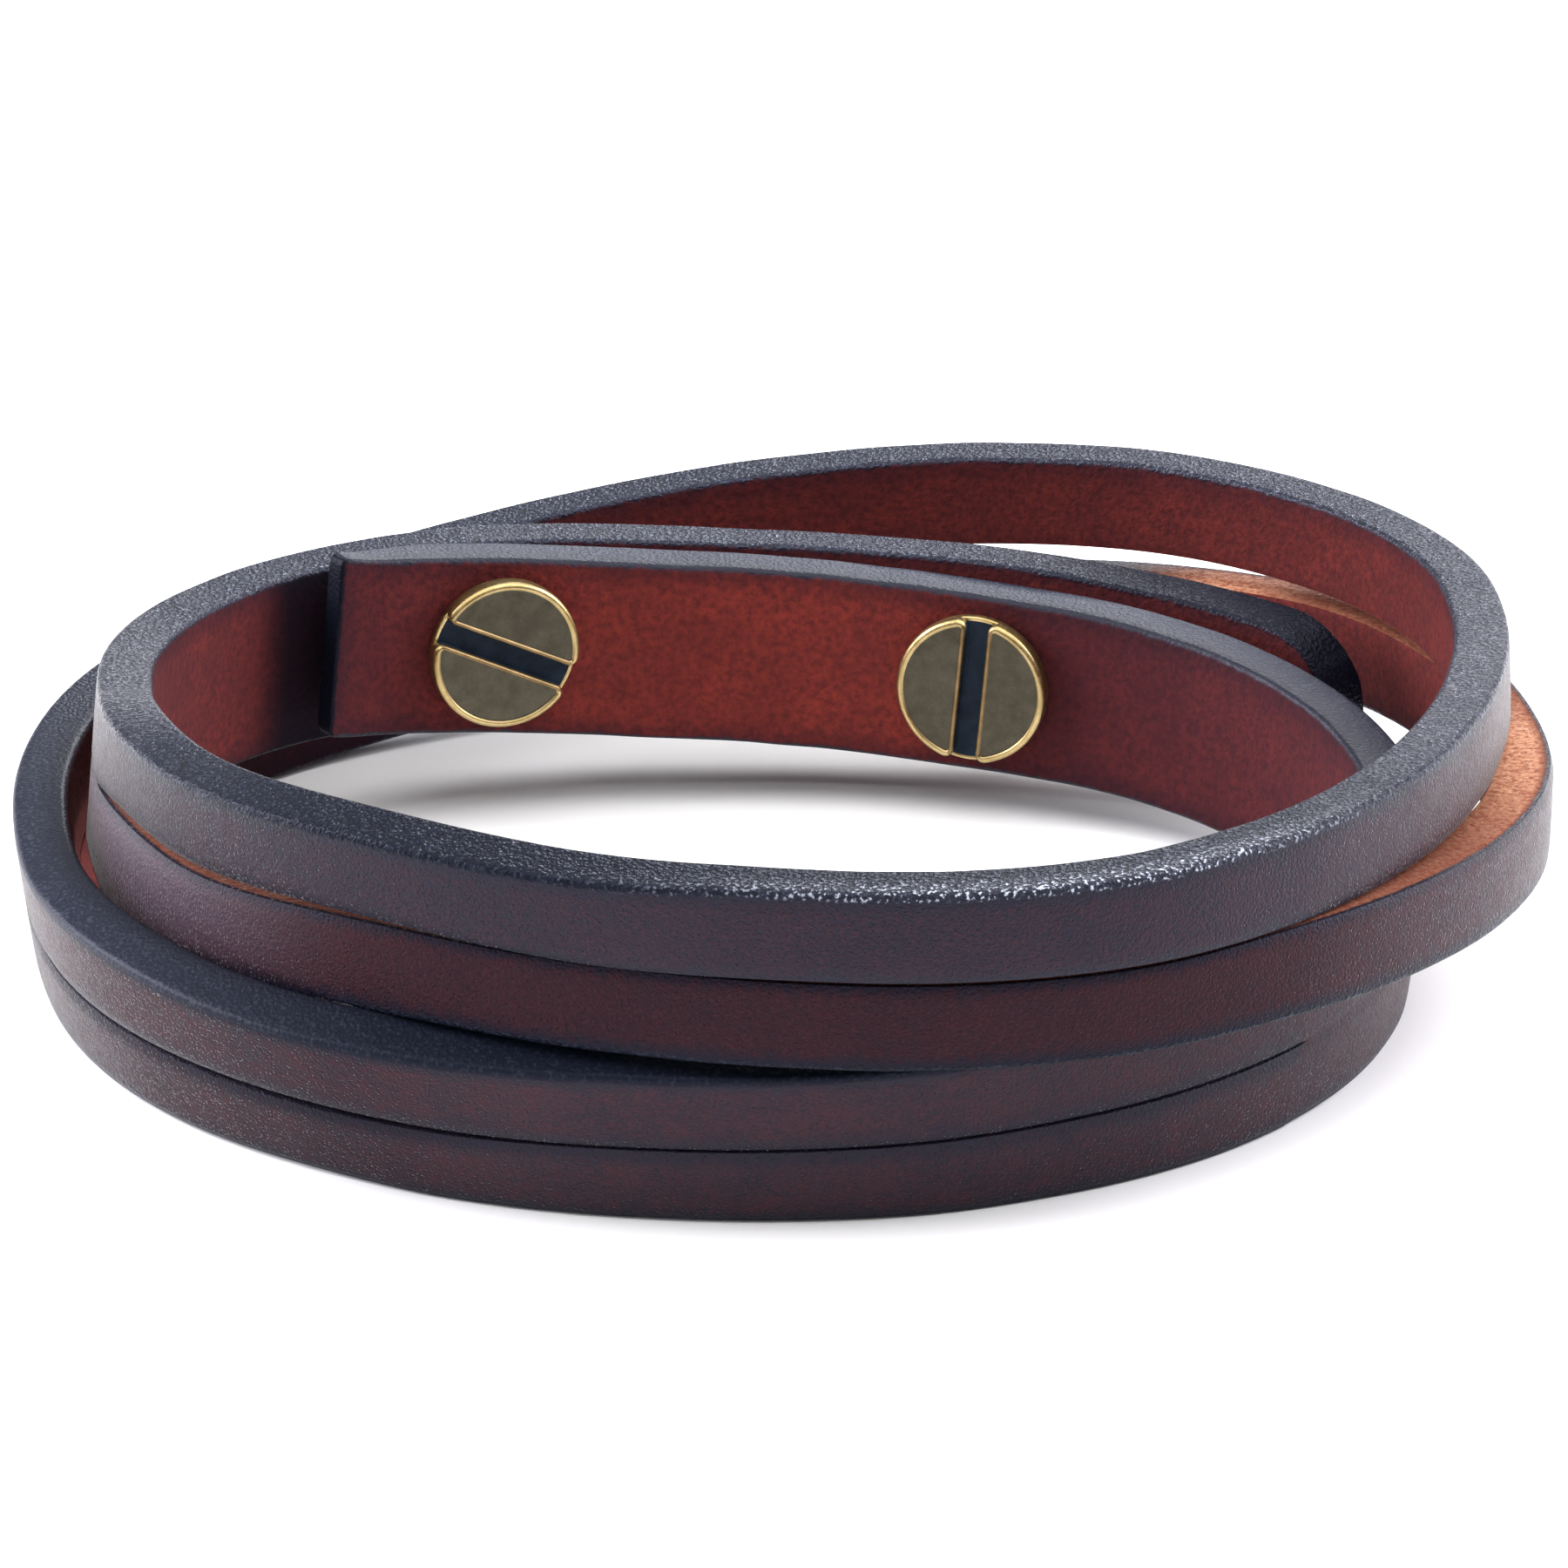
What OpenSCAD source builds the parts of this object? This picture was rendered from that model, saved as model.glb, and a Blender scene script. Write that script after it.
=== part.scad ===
// Leather wrap bracelet. One leather strap is slit lengthwise between its two plain ends and
// wound clockwise, seen from above, a little over two turns around the wrist. Its ends lap at
// the back, where two slotted screws go through both layers into barrels with plain caps.
// A place along the strap is given as a turn angle: 0 is the back (+Y), and 90 the right (+X).
// The bracelet lies on its lower edge, and the origin is the middle of its box at that level.

/* [Wrist opening] */
// Width of the opening inside the lapped end, side to side
opening_w = 59; // [48:0.5:80]
// Depth of the opening, back to front
opening_d = 50.4; // [42:0.2:70]
// Squareness of the oval: 2 is an ellipse, more is squarer
oval_power = 2.15; // [2:0.05:2.5]

/* [Strap] */
// Width of the leather before it is slit
strap_w = 9.2; // [7.5:0.1:13]
// Thickness of the leather
strap_t = 2.7; // [1.8:0.1:3]
// Room between one layer of leather and the next
layer_gap = 0.3; // [0.2:0.05:1]
// Radius of the worn long edges
edge_r = 0.45; // [0.2:0.05:0.8]
// Radius of the corners at the inner end
inner_corner_r = 1.2; // [0.3:0.1:2.5]
// Radius of the corners at the outer end, a blunt tip
outer_corner_r = 4; // [0.5:0.1:5]
// Turn angle of the inner end, left of the first screw
inner_end_angle = -48.5; // [-50:0.5:-44]
// Turn angle of the outer end, behind the lap
outer_end_angle = 776; // [766:1:778]

/* [Slit] */
// Width of the knife cut where the two strips lie together
slit_w = 0.15; // [0.1:0.01:0.4]
// Turn angle where the slit starts, at the front right of the first round
slit_start_angle = 123; // [118:1:128]
// Turn angle where it ends, at the left before the lap
slit_end_angle = 627; // [620:1:632]

/* [Screws] */
// Turn angle of the left screw
left_screw_angle = -30.4; // [-34:0.1:-24]
// Turn angle of the right screw
right_screw_angle = 23.3; // [15:0.1:30]
// Slope of the left slot, down to the right as seen from the wrist
left_slot_angle = 26; // [-90:1:90]
// Slope of the right slot
right_slot_angle = -85; // [-90:1:90]
// Diameter of the head
head_d = 7.6; // [6:0.1:8.5]
// Thickness of the head
head_h = 1.1; // [0.9:0.1:1.6]
// Width of the raised rim around the head
rim_w = 0.35; // [0.2:0.05:0.8]
// Height of the rim over the face
rim_h = 0.08; // [0.04:0.02:0.2]
// Width of the slot
slot_w = 1.2; // [0.6:0.1:1.6]
// Depth of the slot
slot_h = 0.6; // [0.3:0.1:0.7]
// Diameter of the threaded shank
shank_d = 2.5; // [2:0.1:3]
// Outer diameter of the barrel
barrel_d = 4; // [3.6:0.1:5]
// Diameter of the cap on the outside
cap_d = 7.6; // [6:0.1:8.5]
// Thickness of that cap
cap_h = 1.1; // [0.8:0.1:1.4]
// Room around the shank in the barrel, and around the barrel in the leather
bore_room = 0.12; // [0.08:0.01:0.3]
// Room between a head or cap and the leather under it
seat_room = 0.08; // [0.05:0.01:0.2]

/* [Hidden] */

LEATHER = "#4a2420";
BRASS = "#8f7a48";

// Distance from one layer of leather to the next
layer = strap_t + layer_gap;
// Turn angle between two sections of the strap
section_angle = 5;
// Turn angle over which the direction of the strap is taken
nudge_angle = 0.5;
// Arc steps around a worn edge or a cut corner
ARC = [0, 45, 90];
// Arc steps around the corners of the tip, up to the end
TIP_ARC = [90, 70, 50, 30, 0];
// Turn angle between the inner end of the strap and its outer end over it, two rounds
lap_angle = 720;
// Shank and barrel end this share of a layer short of what they point at
end_share = 0.1;

// The winding, at chosen turn angles: how far the leather stands out from the oval in layers,
// the height of its middle in strap widths, and how far its top leans outward in degrees.
TURN = 0;
OUT = 1;
UP = 2;
LEAN = 3;
WINDING = [
    [-50, 0.20, 1.17, 1],
    [-45, 0.13, 1.10, 1],
    [-30, -0.03, 0.98, 1],
    [-15, -0.17, 0.89, 1],
    [0, -0.27, 0.84, 2],
    [22, -0.37, 0.765, 2],
    [45, -0.27, 0.70, 1],
    [75, -0.30, 0.575, 3],
    [90, -0.36, 0.515, 5],
    [105, -0.50, 0.51, 7],
    [120, -0.42, 0.515, 10],
    [150, 0.03, 0.515, 16],
    [165, 0.33, 0.515, 19],
    [180, 0.47, 0.515, 21],
    [195, 0.51, 0.515, 22],
    [210, 0.60, 0.515, 24],
    [225, 0.71, 0.53, 25],
    [240, 0.82, 0.53, 21],
    [255, 0.98, 0.52, 16],
    [270, 1.27, 0.515, 9],
    [285, 1.80, 0.51, 3],
    [300, 2.50, 0.505, 0],
    [315, 3.15, 0.505, 0],
    [330, 3.48, 0.59, 0],
    [360, 3.80, 0.83, 0],
    [375, 3.97, 0.92, 0],
    [390, 3.93, 1.005, 0],
    [405, 3.43, 1.09, 0],
    [420, 2.63, 1.16, 0],
    [435, 1.83, 1.22, 0],
    [450, 1.35, 1.30, 0],
    [465, 1.05, 1.37, 0],
    [480, 1.07, 1.435, 0],
    [495, 1.38, 1.49, 1],
    [510, 1.70, 1.515, 4],
    [525, 1.70, 1.535, 5],
    [540, 1.45, 1.55, 5],
    [555, 1.16, 1.56, 8],
    [578, 0.76, 1.588, 9],
    [600, 0.17, 1.445, 6],
    [615, 0.00, 1.37, 3],
    [630, 0.17, 1.24, -3],
    [645, 0.57, 1.125, -6],
    [660, 0.97, 1.03, -4],
    [675, 1.20, 0.975, -1],
    [690, 1.05, 0.96, 1],
    [705, 0.88, 0.905, 1],
    [720, 0.78, 0.855, 2],
    [742, 0.75, 0.82, 1],
    [758, 0.98, 0.77, -3],
    [776, 1.45, 0.71, -10]
];

// The slit, at chosen turn angles: how far it opens beyond the knife cut in strap widths, how
// far the lower strip stands outside the upper one in layers, and how far each strip turns
// away from the other in degrees.
OPEN = 1;
STEP = 2;
TWIST = 3;
SLIT = [
    [200, 0.00, 0.00, 0],
    [225, 0.025, 0.00, 0],
    [250, 0.01, 0.00, 0],
    [270, 0.00, 0.00, 0],
    [315, 0.00, 0.00, 0],
    [330, 0.04, 0.00, 0],
    [360, 0.135, 0.00, 0],
    [375, 0.17, 0.00, 0],
    [390, 0.145, 0.00, 0],
    [405, 0.07, 0.00, 0],
    [420, 0.05, 0.13, 0],
    [435, 0.07, 0.50, 0],
    [450, 0.07, 0.77, 0],
    [465, 0.05, 0.67, 0],
    [480, 0.02, 0.35, 0],
    [495, 0.00, 0.03, 0],
    [510, 0.01, -0.13, -2],
    [540, 0.01, -0.13, -1],
    [555, 0.02, -0.13, 3],
    [578, 0.07, -0.13, 6],
    [600, 0.085, -0.07, 5],
    [615, 0.06, 0.00, 4],
    [627, 0.00, 0.00, 0]
];

// Reading the tables: a smooth curve through a column's values
function row_before(table, turn, i = 0) =
    i + 2 >= len(table) || table[i + 1][TURN] > turn ? i : row_before(table, turn, i + 1);

function slope_at(table, column, i) =
    let (
        before = table[max(i - 1, 0)],
        after = table[min(i + 1, len(table) - 1)]
    )
    (after[column] - before[column]) / (after[TURN] - before[TURN]);

function read(table, column, turn) =
    let (
        i = row_before(table, turn),
        from = table[i],
        to = table[i + 1],
        span = to[TURN] - from[TURN],
        s = max(0, min(1, (turn - from[TURN]) / span))
    )
    from[column] * (2 * s ^ 3 - 3 * s ^ 2 + 1)
    + to[column] * (3 * s ^ 2 - 2 * s ^ 3)
    + span * slope_at(table, column, i) * (s ^ 3 - 2 * s ^ 2 + s)
    + span * slope_at(table, column, i + 1) * (s ^ 3 - s ^ 2);

// The middle line of the strap, and the directions out and up across it
function oval_r(turn) =
    1 / pow(
        pow(abs(sin(turn)) / (opening_w / 2), oval_power)
        + pow(abs(cos(turn)) / (opening_d / 2), oval_power),
        1 / oval_power
    );

function middle(turn) =
    let (r = oval_r(turn) + strap_t / 2 + layer * read(WINDING, OUT, turn))
    [r * sin(turn), r * cos(turn), strap_w * read(WINDING, UP, turn)];

function unit(v) = v / norm(v);

function upright(turn) =
    let (
        along = unit(middle(turn + nudge_angle) - middle(turn - nudge_angle)),
        out = unit(cross([0, 0, 1], along))
    )
    [out, cross(along, out)];

function lean(axes, angle) = [
    axes[0] * cos(angle) - axes[1] * sin(angle),
    axes[1] * cos(angle) + axes[0] * sin(angle)
];

// Whether the two strips are still one there
function joined(turn) = turn <= slit_start_angle || turn >= slit_end_angle;

function opening(turn) = joined(turn) ? 0 : slit_w + strap_w * max(0, read(SLIT, OPEN, turn));

function slit_value(column, turn) = joined(turn) ? 0 : read(SLIT, column, turn);

// Length of strap for one degree of turn
function degree_l(turn) = norm(middle(turn + nudge_angle) - middle(turn - nudge_angle)) / (2 * nudge_angle);

// The tip's corners leave room for the worn edge between them
tip_r = min(outer_corner_r, strap_w / 2 - edge_r - slit_w);

// What a rounded corner takes off the long edge at a distance from the cut end
function rounded(r, from_end) =
    let (short = max(0, r - from_end))
    r - sqrt(r ^ 2 - short ^ 2);

function corner_cut(turn) =
    rounded(inner_corner_r, (turn - inner_end_angle) * degree_l(inner_end_angle))
    + rounded(tip_r, (outer_end_angle - turn) * degree_l(outer_end_angle));

// Half of a section, from the slit around the long edge and back. side is 1 for the upper
// strip and -1 for the lower one
HALF = 2 * len(ARC) + 2;
function half_section(turn, side) =
    let (
        axes = upright(turn),
        angle = read(WINDING, LEAN, turn),
        both = lean(axes, angle),
        own = lean(axes, angle + side * slit_value(TWIST, turn)),
        place = middle(turn)
            + both[1] * side * (strap_w / 4 + opening(turn) / 2)
            - both[0] * side * layer * slit_value(STEP, turn) / 2,
        half_t = strap_t / 2,
        half_w = strap_w / 4,
        edge = half_w - corner_cut(turn),
        outline = [
            [half_t, -half_w],
            for (q = ARC) [half_t - edge_r * (1 - cos(q)), edge - edge_r * (1 - sin(q))],
            for (q = ARC) [-half_t + edge_r * (1 - sin(q)), edge - edge_r * (1 - cos(q))],
            [-half_t, -half_w]
        ]
    )
    [for (p = outline) place + own[0] * p[0] + own[1] * side * p[1]];

// Turn angles of the sections: even steps, the slit's two ends and the rounded corners
function even_turns(from, to) =
    let (n = ceil((to - from) / section_angle))
    [for (i = [0:n - 1]) from + (to - from) * i / n];

inner_turns = [
    for (q = ARC) inner_end_angle + inner_corner_r * (1 - cos(q)) / degree_l(inner_end_angle)
];
outer_turns = [
    for (q = TIP_ARC) outer_end_angle - tip_r * (1 - cos(q)) / degree_l(outer_end_angle)
];
TURNS = [
    inner_turns[0],
    inner_turns[1],
    each even_turns(inner_turns[2], slit_start_angle),
    each even_turns(slit_start_angle, slit_end_angle),
    each even_turns(slit_end_angle, outer_turns[0]),
    each outer_turns
];
LAST = len(TURNS) - 1;

// All points of the strap, before it is set down on its lower edge
loose_points = [for (a = TURNS) each concat(half_section(a, 1), half_section(a, -1))];

function lowest(axis) = min([for (p = loose_points) p[axis]]);
function highest(axis) = max([for (p = loose_points) p[axis]]);
set_down = [
    -(lowest(0) + highest(0)) / 2,
    -(lowest(1) + highest(1)) / 2,
    -lowest(2)
];

// Number of a point of the strap. Where the strips are joined, they share the slit's points
function id(section, side, k) =
    let (shared = joined(TURNS[section]) && (k == 0 || k == HALF - 1))
    section * 2 * HALF + (side > 0 || shared ? 0 : HALF) + k;

// The two triangles between neighbouring points of two neighbouring sections
function patch(section, side, k, next_k) =
    let (
        a = id(section, side, k),
        b = id(section, side, next_k),
        c = id(section + 1, side, next_k),
        d = id(section + 1, side, k)
    )
    side > 0 ? [[a, d, c], [a, c, b]] : [[a, c, d], [a, b, c]];

function slit_open(section) = !joined(TURNS[section]) || !joined(TURNS[section + 1]);

end_ring = [
    for (k = [0:HALF - 1]) k,
    for (k = [HALF - 2:-1:1]) HALF + k
];

strap_faces = [
    for (section = [0:LAST - 1], side = [1, -1], k = [0:HALF - 2]) each patch(section, side, k, k + 1),
    for (section = [0:LAST - 1], side = [1, -1]) if (slit_open(section))
        each patch(section, side, HALF - 1, 0),
    end_ring,
    [for (i = [len(end_ring) - 1:-1:0]) LAST * 2 * HALF + end_ring[i]]
];

// A point on the strap's face beside a screw. face is 1 outside and -1 inside, q goes around
// the axis, and reach is the distance from it
function face_point(turn, face, q, reach) =
    let (
        a = turn + reach * cos(q) / degree_l(turn),
        own = lean(upright(a), read(WINDING, LEAN, a))
    )
    middle(a) + own[0] * face * strap_t / 2 + own[1] * reach * sin(q);

function screw_axis(turn) = lean(upright(turn), read(WINDING, LEAN, turn))[0];

// Where a head or cap of a diameter comes to rest, measured along the screw's axis
REST_STEPS = [for (q = [0:45:315], share = [0, 0.5, 1]) [q, share / 2]];
function heights(turn, on_turn, face, d) = [
    for (s = REST_STEPS) (face_point(on_turn, face, s[0], d * s[1]) - middle(turn)) * screw_axis(turn)
];
function head_seat(turn) = min(heights(turn, turn, -1, head_d)) - seat_room;
function cap_seat(turn) = max(heights(turn, turn + lap_angle, 1, cap_d)) + seat_room;

// Puts its children on a screw's axis: the origin in the middle of the inner layer, +Z outward
module on_screw(turn) {
    axis = screw_axis(turn);
    translate(set_down + middle(turn))
        rotate([0, acos(axis[2]), atan2(axis[1], axis[0])])
            children();
}

// A screw: the slotted head inside the wrist opening, and its shank
module screw(turn, slope) {
    seat = head_seat(turn);
    shank_l = cap_seat(turn) - seat - end_share * layer;
    color(BRASS) on_screw(turn) translate([0, 0, seat]) {
        difference() {
            rotate([180, 0, 0]) cylinder(d = head_d, h = head_h, $fn = 96);
            translate([0, 0, -head_h - rim_h]) cylinder(d = head_d - 2 * rim_w, h = 2 * rim_h, $fn = 96);
            rotate([0, 0, 90 + slope])
                translate([-head_d, -slot_w / 2, -2 * head_h]) cube([2 * head_d, slot_w, head_h + slot_h]);
        }
        cylinder(d = shank_d, h = shank_l, $fn = 48);
    }
}

// A post: the barrel through both layers, and its plain cap outside them
module post(turn) {
    from = head_seat(turn) + end_share * layer;
    seat = cap_seat(turn);
    color(BRASS) on_screw(turn) difference() {
        union() {
            translate([0, 0, from]) cylinder(d = barrel_d, h = seat - from + cap_h / 2, $fn = 64);
            translate([0, 0, seat]) cylinder(d = cap_d, h = cap_h, $fn = 96);
        }
        translate([0, 0, from - cap_h])
            cylinder(d = shank_d + 2 * bore_room, h = seat - from + cap_h, $fn = 48);
    }
}

// The leather, with a round hole through both layers for each barrel
module strap() {
    color(LEATHER) difference() {
        translate(set_down) polyhedron(points = loose_points, faces = strap_faces);
        for (turn = [left_screw_angle, right_screw_angle]) on_screw(turn)
            translate([0, 0, -layer])
                cylinder(d = barrel_d + 2 * bore_room, h = cap_seat(turn) + layer + cap_h, $fn = 64);
    }
}

strap();
screw(left_screw_angle, left_slot_angle);  // screw_left
post(left_screw_angle);  // post_left
screw(right_screw_angle, right_slot_angle);  // screw_right
post(right_screw_angle);  // post_right
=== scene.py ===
"""Leather wrap bracelet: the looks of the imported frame.

One slit strap, wound a little over two turns, and two slotted screws in capped posts replace the plain
solids of the frame. The strap follows the same table of the winding as the solids, in millimetres, and
the finished meshes are in metres.
"""
import functools
import logging
import math
from dataclasses import dataclass, field
from enum import Enum
from typing import Callable, Iterable, Sequence

import bmesh
import bpy
import numpy as np
from mathutils import Matrix, Vector


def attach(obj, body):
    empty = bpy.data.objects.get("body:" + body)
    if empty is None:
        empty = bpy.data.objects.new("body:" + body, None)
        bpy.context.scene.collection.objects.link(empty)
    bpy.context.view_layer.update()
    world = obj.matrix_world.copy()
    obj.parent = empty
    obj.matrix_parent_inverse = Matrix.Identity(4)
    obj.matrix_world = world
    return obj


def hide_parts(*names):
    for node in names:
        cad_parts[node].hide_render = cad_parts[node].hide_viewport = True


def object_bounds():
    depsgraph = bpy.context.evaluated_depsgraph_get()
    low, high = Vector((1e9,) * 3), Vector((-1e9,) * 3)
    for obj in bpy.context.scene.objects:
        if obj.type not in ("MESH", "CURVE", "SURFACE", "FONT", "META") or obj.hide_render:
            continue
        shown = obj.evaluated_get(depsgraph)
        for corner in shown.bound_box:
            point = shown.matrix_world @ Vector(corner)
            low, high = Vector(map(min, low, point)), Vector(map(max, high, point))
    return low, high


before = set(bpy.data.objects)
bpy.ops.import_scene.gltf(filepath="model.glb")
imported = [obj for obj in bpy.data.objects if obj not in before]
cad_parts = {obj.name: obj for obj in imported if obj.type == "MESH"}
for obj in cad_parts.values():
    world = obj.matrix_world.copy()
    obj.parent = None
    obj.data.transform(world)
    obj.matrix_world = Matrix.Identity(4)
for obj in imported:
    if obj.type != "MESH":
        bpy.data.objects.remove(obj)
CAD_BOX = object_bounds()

LOG = logging.getLogger("bracelet")
MM = 0.001
LATHE_WELD = 0.0005

Row = tuple[float, ...]
Table = tuple[Row, ...]
Tone = tuple[float, float, float]
Fade = tuple[float, float]
Window = tuple[float, float, float, float]
Socket = bpy.types.NodeSocket
Value = Socket | float
Colour = Socket | Tone
Join = Callable[[Value, Value, Value], Socket]


class Side(Enum):
    """Which of the two strips a half section belongs to."""

    UPPER = 1
    LOWER = -1


class WindingColumn(Enum):
    """The columns of the winding's table after the turn angle."""

    OUT = 1
    UP = 2
    LEAN = 3


class SlitColumn(Enum):
    """The columns of the slit's table after the turn angle."""

    OPEN = 1
    STEP = 2
    TWIST = 3


class Combine(Enum):
    """How one solid changes another."""

    JOIN = "UNION"
    CUT = "DIFFERENCE"


# The winding: turn angle, layers out from the oval, middle height in strap widths, lean of the top outward
WINDING: Table = (
    (-50, 0.20, 1.17, 1),
    (-45, 0.13, 1.10, 1),
    (-30, -0.03, 0.98, 1),
    (-15, -0.17, 0.89, 1),
    (0, -0.27, 0.84, 2),
    (22, -0.37, 0.765, 2),
    (45, -0.27, 0.70, 1),
    (75, -0.30, 0.575, 3),
    (90, -0.36, 0.515, 5),
    (105, -0.50, 0.51, 7),
    (120, -0.42, 0.515, 10),
    (150, 0.03, 0.515, 16),
    (165, 0.33, 0.515, 19),
    (180, 0.47, 0.515, 21),
    (195, 0.51, 0.515, 22),
    (210, 0.60, 0.515, 24),
    (225, 0.71, 0.53, 25),
    (240, 0.82, 0.53, 21),
    (255, 0.98, 0.52, 16),
    (270, 1.27, 0.515, 9),
    (285, 1.80, 0.51, 3),
    (300, 2.50, 0.505, 0),
    (315, 3.15, 0.505, 0),
    (330, 3.48, 0.59, 0),
    (360, 3.80, 0.83, 0),
    (375, 3.97, 0.92, 0),
    (390, 3.93, 1.005, 0),
    (405, 3.43, 1.09, 0),
    (420, 2.63, 1.16, 0),
    (435, 1.83, 1.22, 0),
    (450, 1.35, 1.30, 0),
    (465, 1.05, 1.37, 0),
    (480, 1.07, 1.435, 0),
    (495, 1.38, 1.49, 1),
    (510, 1.70, 1.515, 4),
    (525, 1.70, 1.535, 5),
    (540, 1.45, 1.55, 5),
    (555, 1.16, 1.56, 8),
    (578, 0.76, 1.588, 9),
    (600, 0.17, 1.445, 6),
    (615, 0.00, 1.37, 3),
    (630, 0.17, 1.24, -3),
    (645, 0.57, 1.125, -6),
    (660, 0.97, 1.03, -4),
    (675, 1.20, 0.975, -1),
    (690, 1.05, 0.96, 1),
    (705, 0.88, 0.905, 1),
    (720, 0.78, 0.855, 2),
    (742, 0.75, 0.82, 1),
    (758, 0.98, 0.77, -3),
    (776, 1.45, 0.71, -10),
)

# The slit: turn angle, opening in strap widths, layers the lower strip stands out, twist of each strip
SLIT: Table = (
    (200, 0.00, 0.00, 0),
    (225, 0.025, 0.00, 0),
    (250, 0.01, 0.00, 0),
    (270, 0.00, 0.00, 0),
    (315, 0.00, 0.00, 0),
    (330, 0.04, 0.00, 0),
    (360, 0.135, 0.00, 0),
    (375, 0.17, 0.00, 0),
    (390, 0.145, 0.00, 0),
    (405, 0.07, 0.00, 0),
    (420, 0.05, 0.13, 0),
    (435, 0.07, 0.50, 0),
    (450, 0.07, 0.77, 0),
    (465, 0.05, 0.67, 0),
    (480, 0.02, 0.35, 0),
    (495, 0.00, 0.03, 0),
    (510, 0.01, -0.13, -2),
    (540, 0.01, -0.13, -1),
    (555, 0.02, -0.13, 3),
    (578, 0.07, -0.13, 6),
    (600, 0.085, -0.07, 5),
    (615, 0.06, 0.00, 4),
    (627, 0.00, 0.00, 0),
)


def read(table: Table, column: WindingColumn | SlitColumn, turns: np.ndarray) -> np.ndarray:
    """Read a smooth curve through one column of a table.

    Args:
        table: Rows that start with a turn angle.
        column: The column to read.
        turns: Turn angles in degrees.

    Returns:
        The column's value at each angle, held at the ends.
    """
    rows = np.array(table, float)
    x = rows[:, 0]
    y = rows[:, column.value]
    before = np.maximum(np.arange(len(x)) - 1, 0)
    after = np.minimum(np.arange(len(x)) + 1, len(x) - 1)
    slope = (y[after] - y[before]) / (x[after] - x[before])
    i = np.clip(np.searchsorted(x, turns, side="right") - 1, 0, len(x) - 2)
    span = x[i + 1] - x[i]
    s = np.clip((turns - x[i]) / span, 0, 1)
    value = y[i] * (2 * s**3 - 3 * s**2 + 1) + y[i + 1] * (3 * s**2 - 2 * s**3)
    return value + span * (slope[i] * (s**3 - 2 * s**2 + s) + slope[i + 1] * (s**3 - s**2))


def unit(v: np.ndarray) -> np.ndarray:
    """Return the vectors at length one."""
    return v / np.linalg.norm(v, axis=-1, keepdims=True)


def lean(out: np.ndarray, up: np.ndarray, angle: np.ndarray) -> tuple[np.ndarray, np.ndarray]:
    """Turn the directions out and up about the strap's own run, with the top outward.

    Args:
        out: Outward directions.
        up: Upward directions.
        angle: Angles in degrees.

    Returns:
        The turned directions out and up.
    """
    q = np.radians(angle)[:, None]
    return out * np.cos(q) - up * np.sin(q), up * np.cos(q) + out * np.sin(q)


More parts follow.
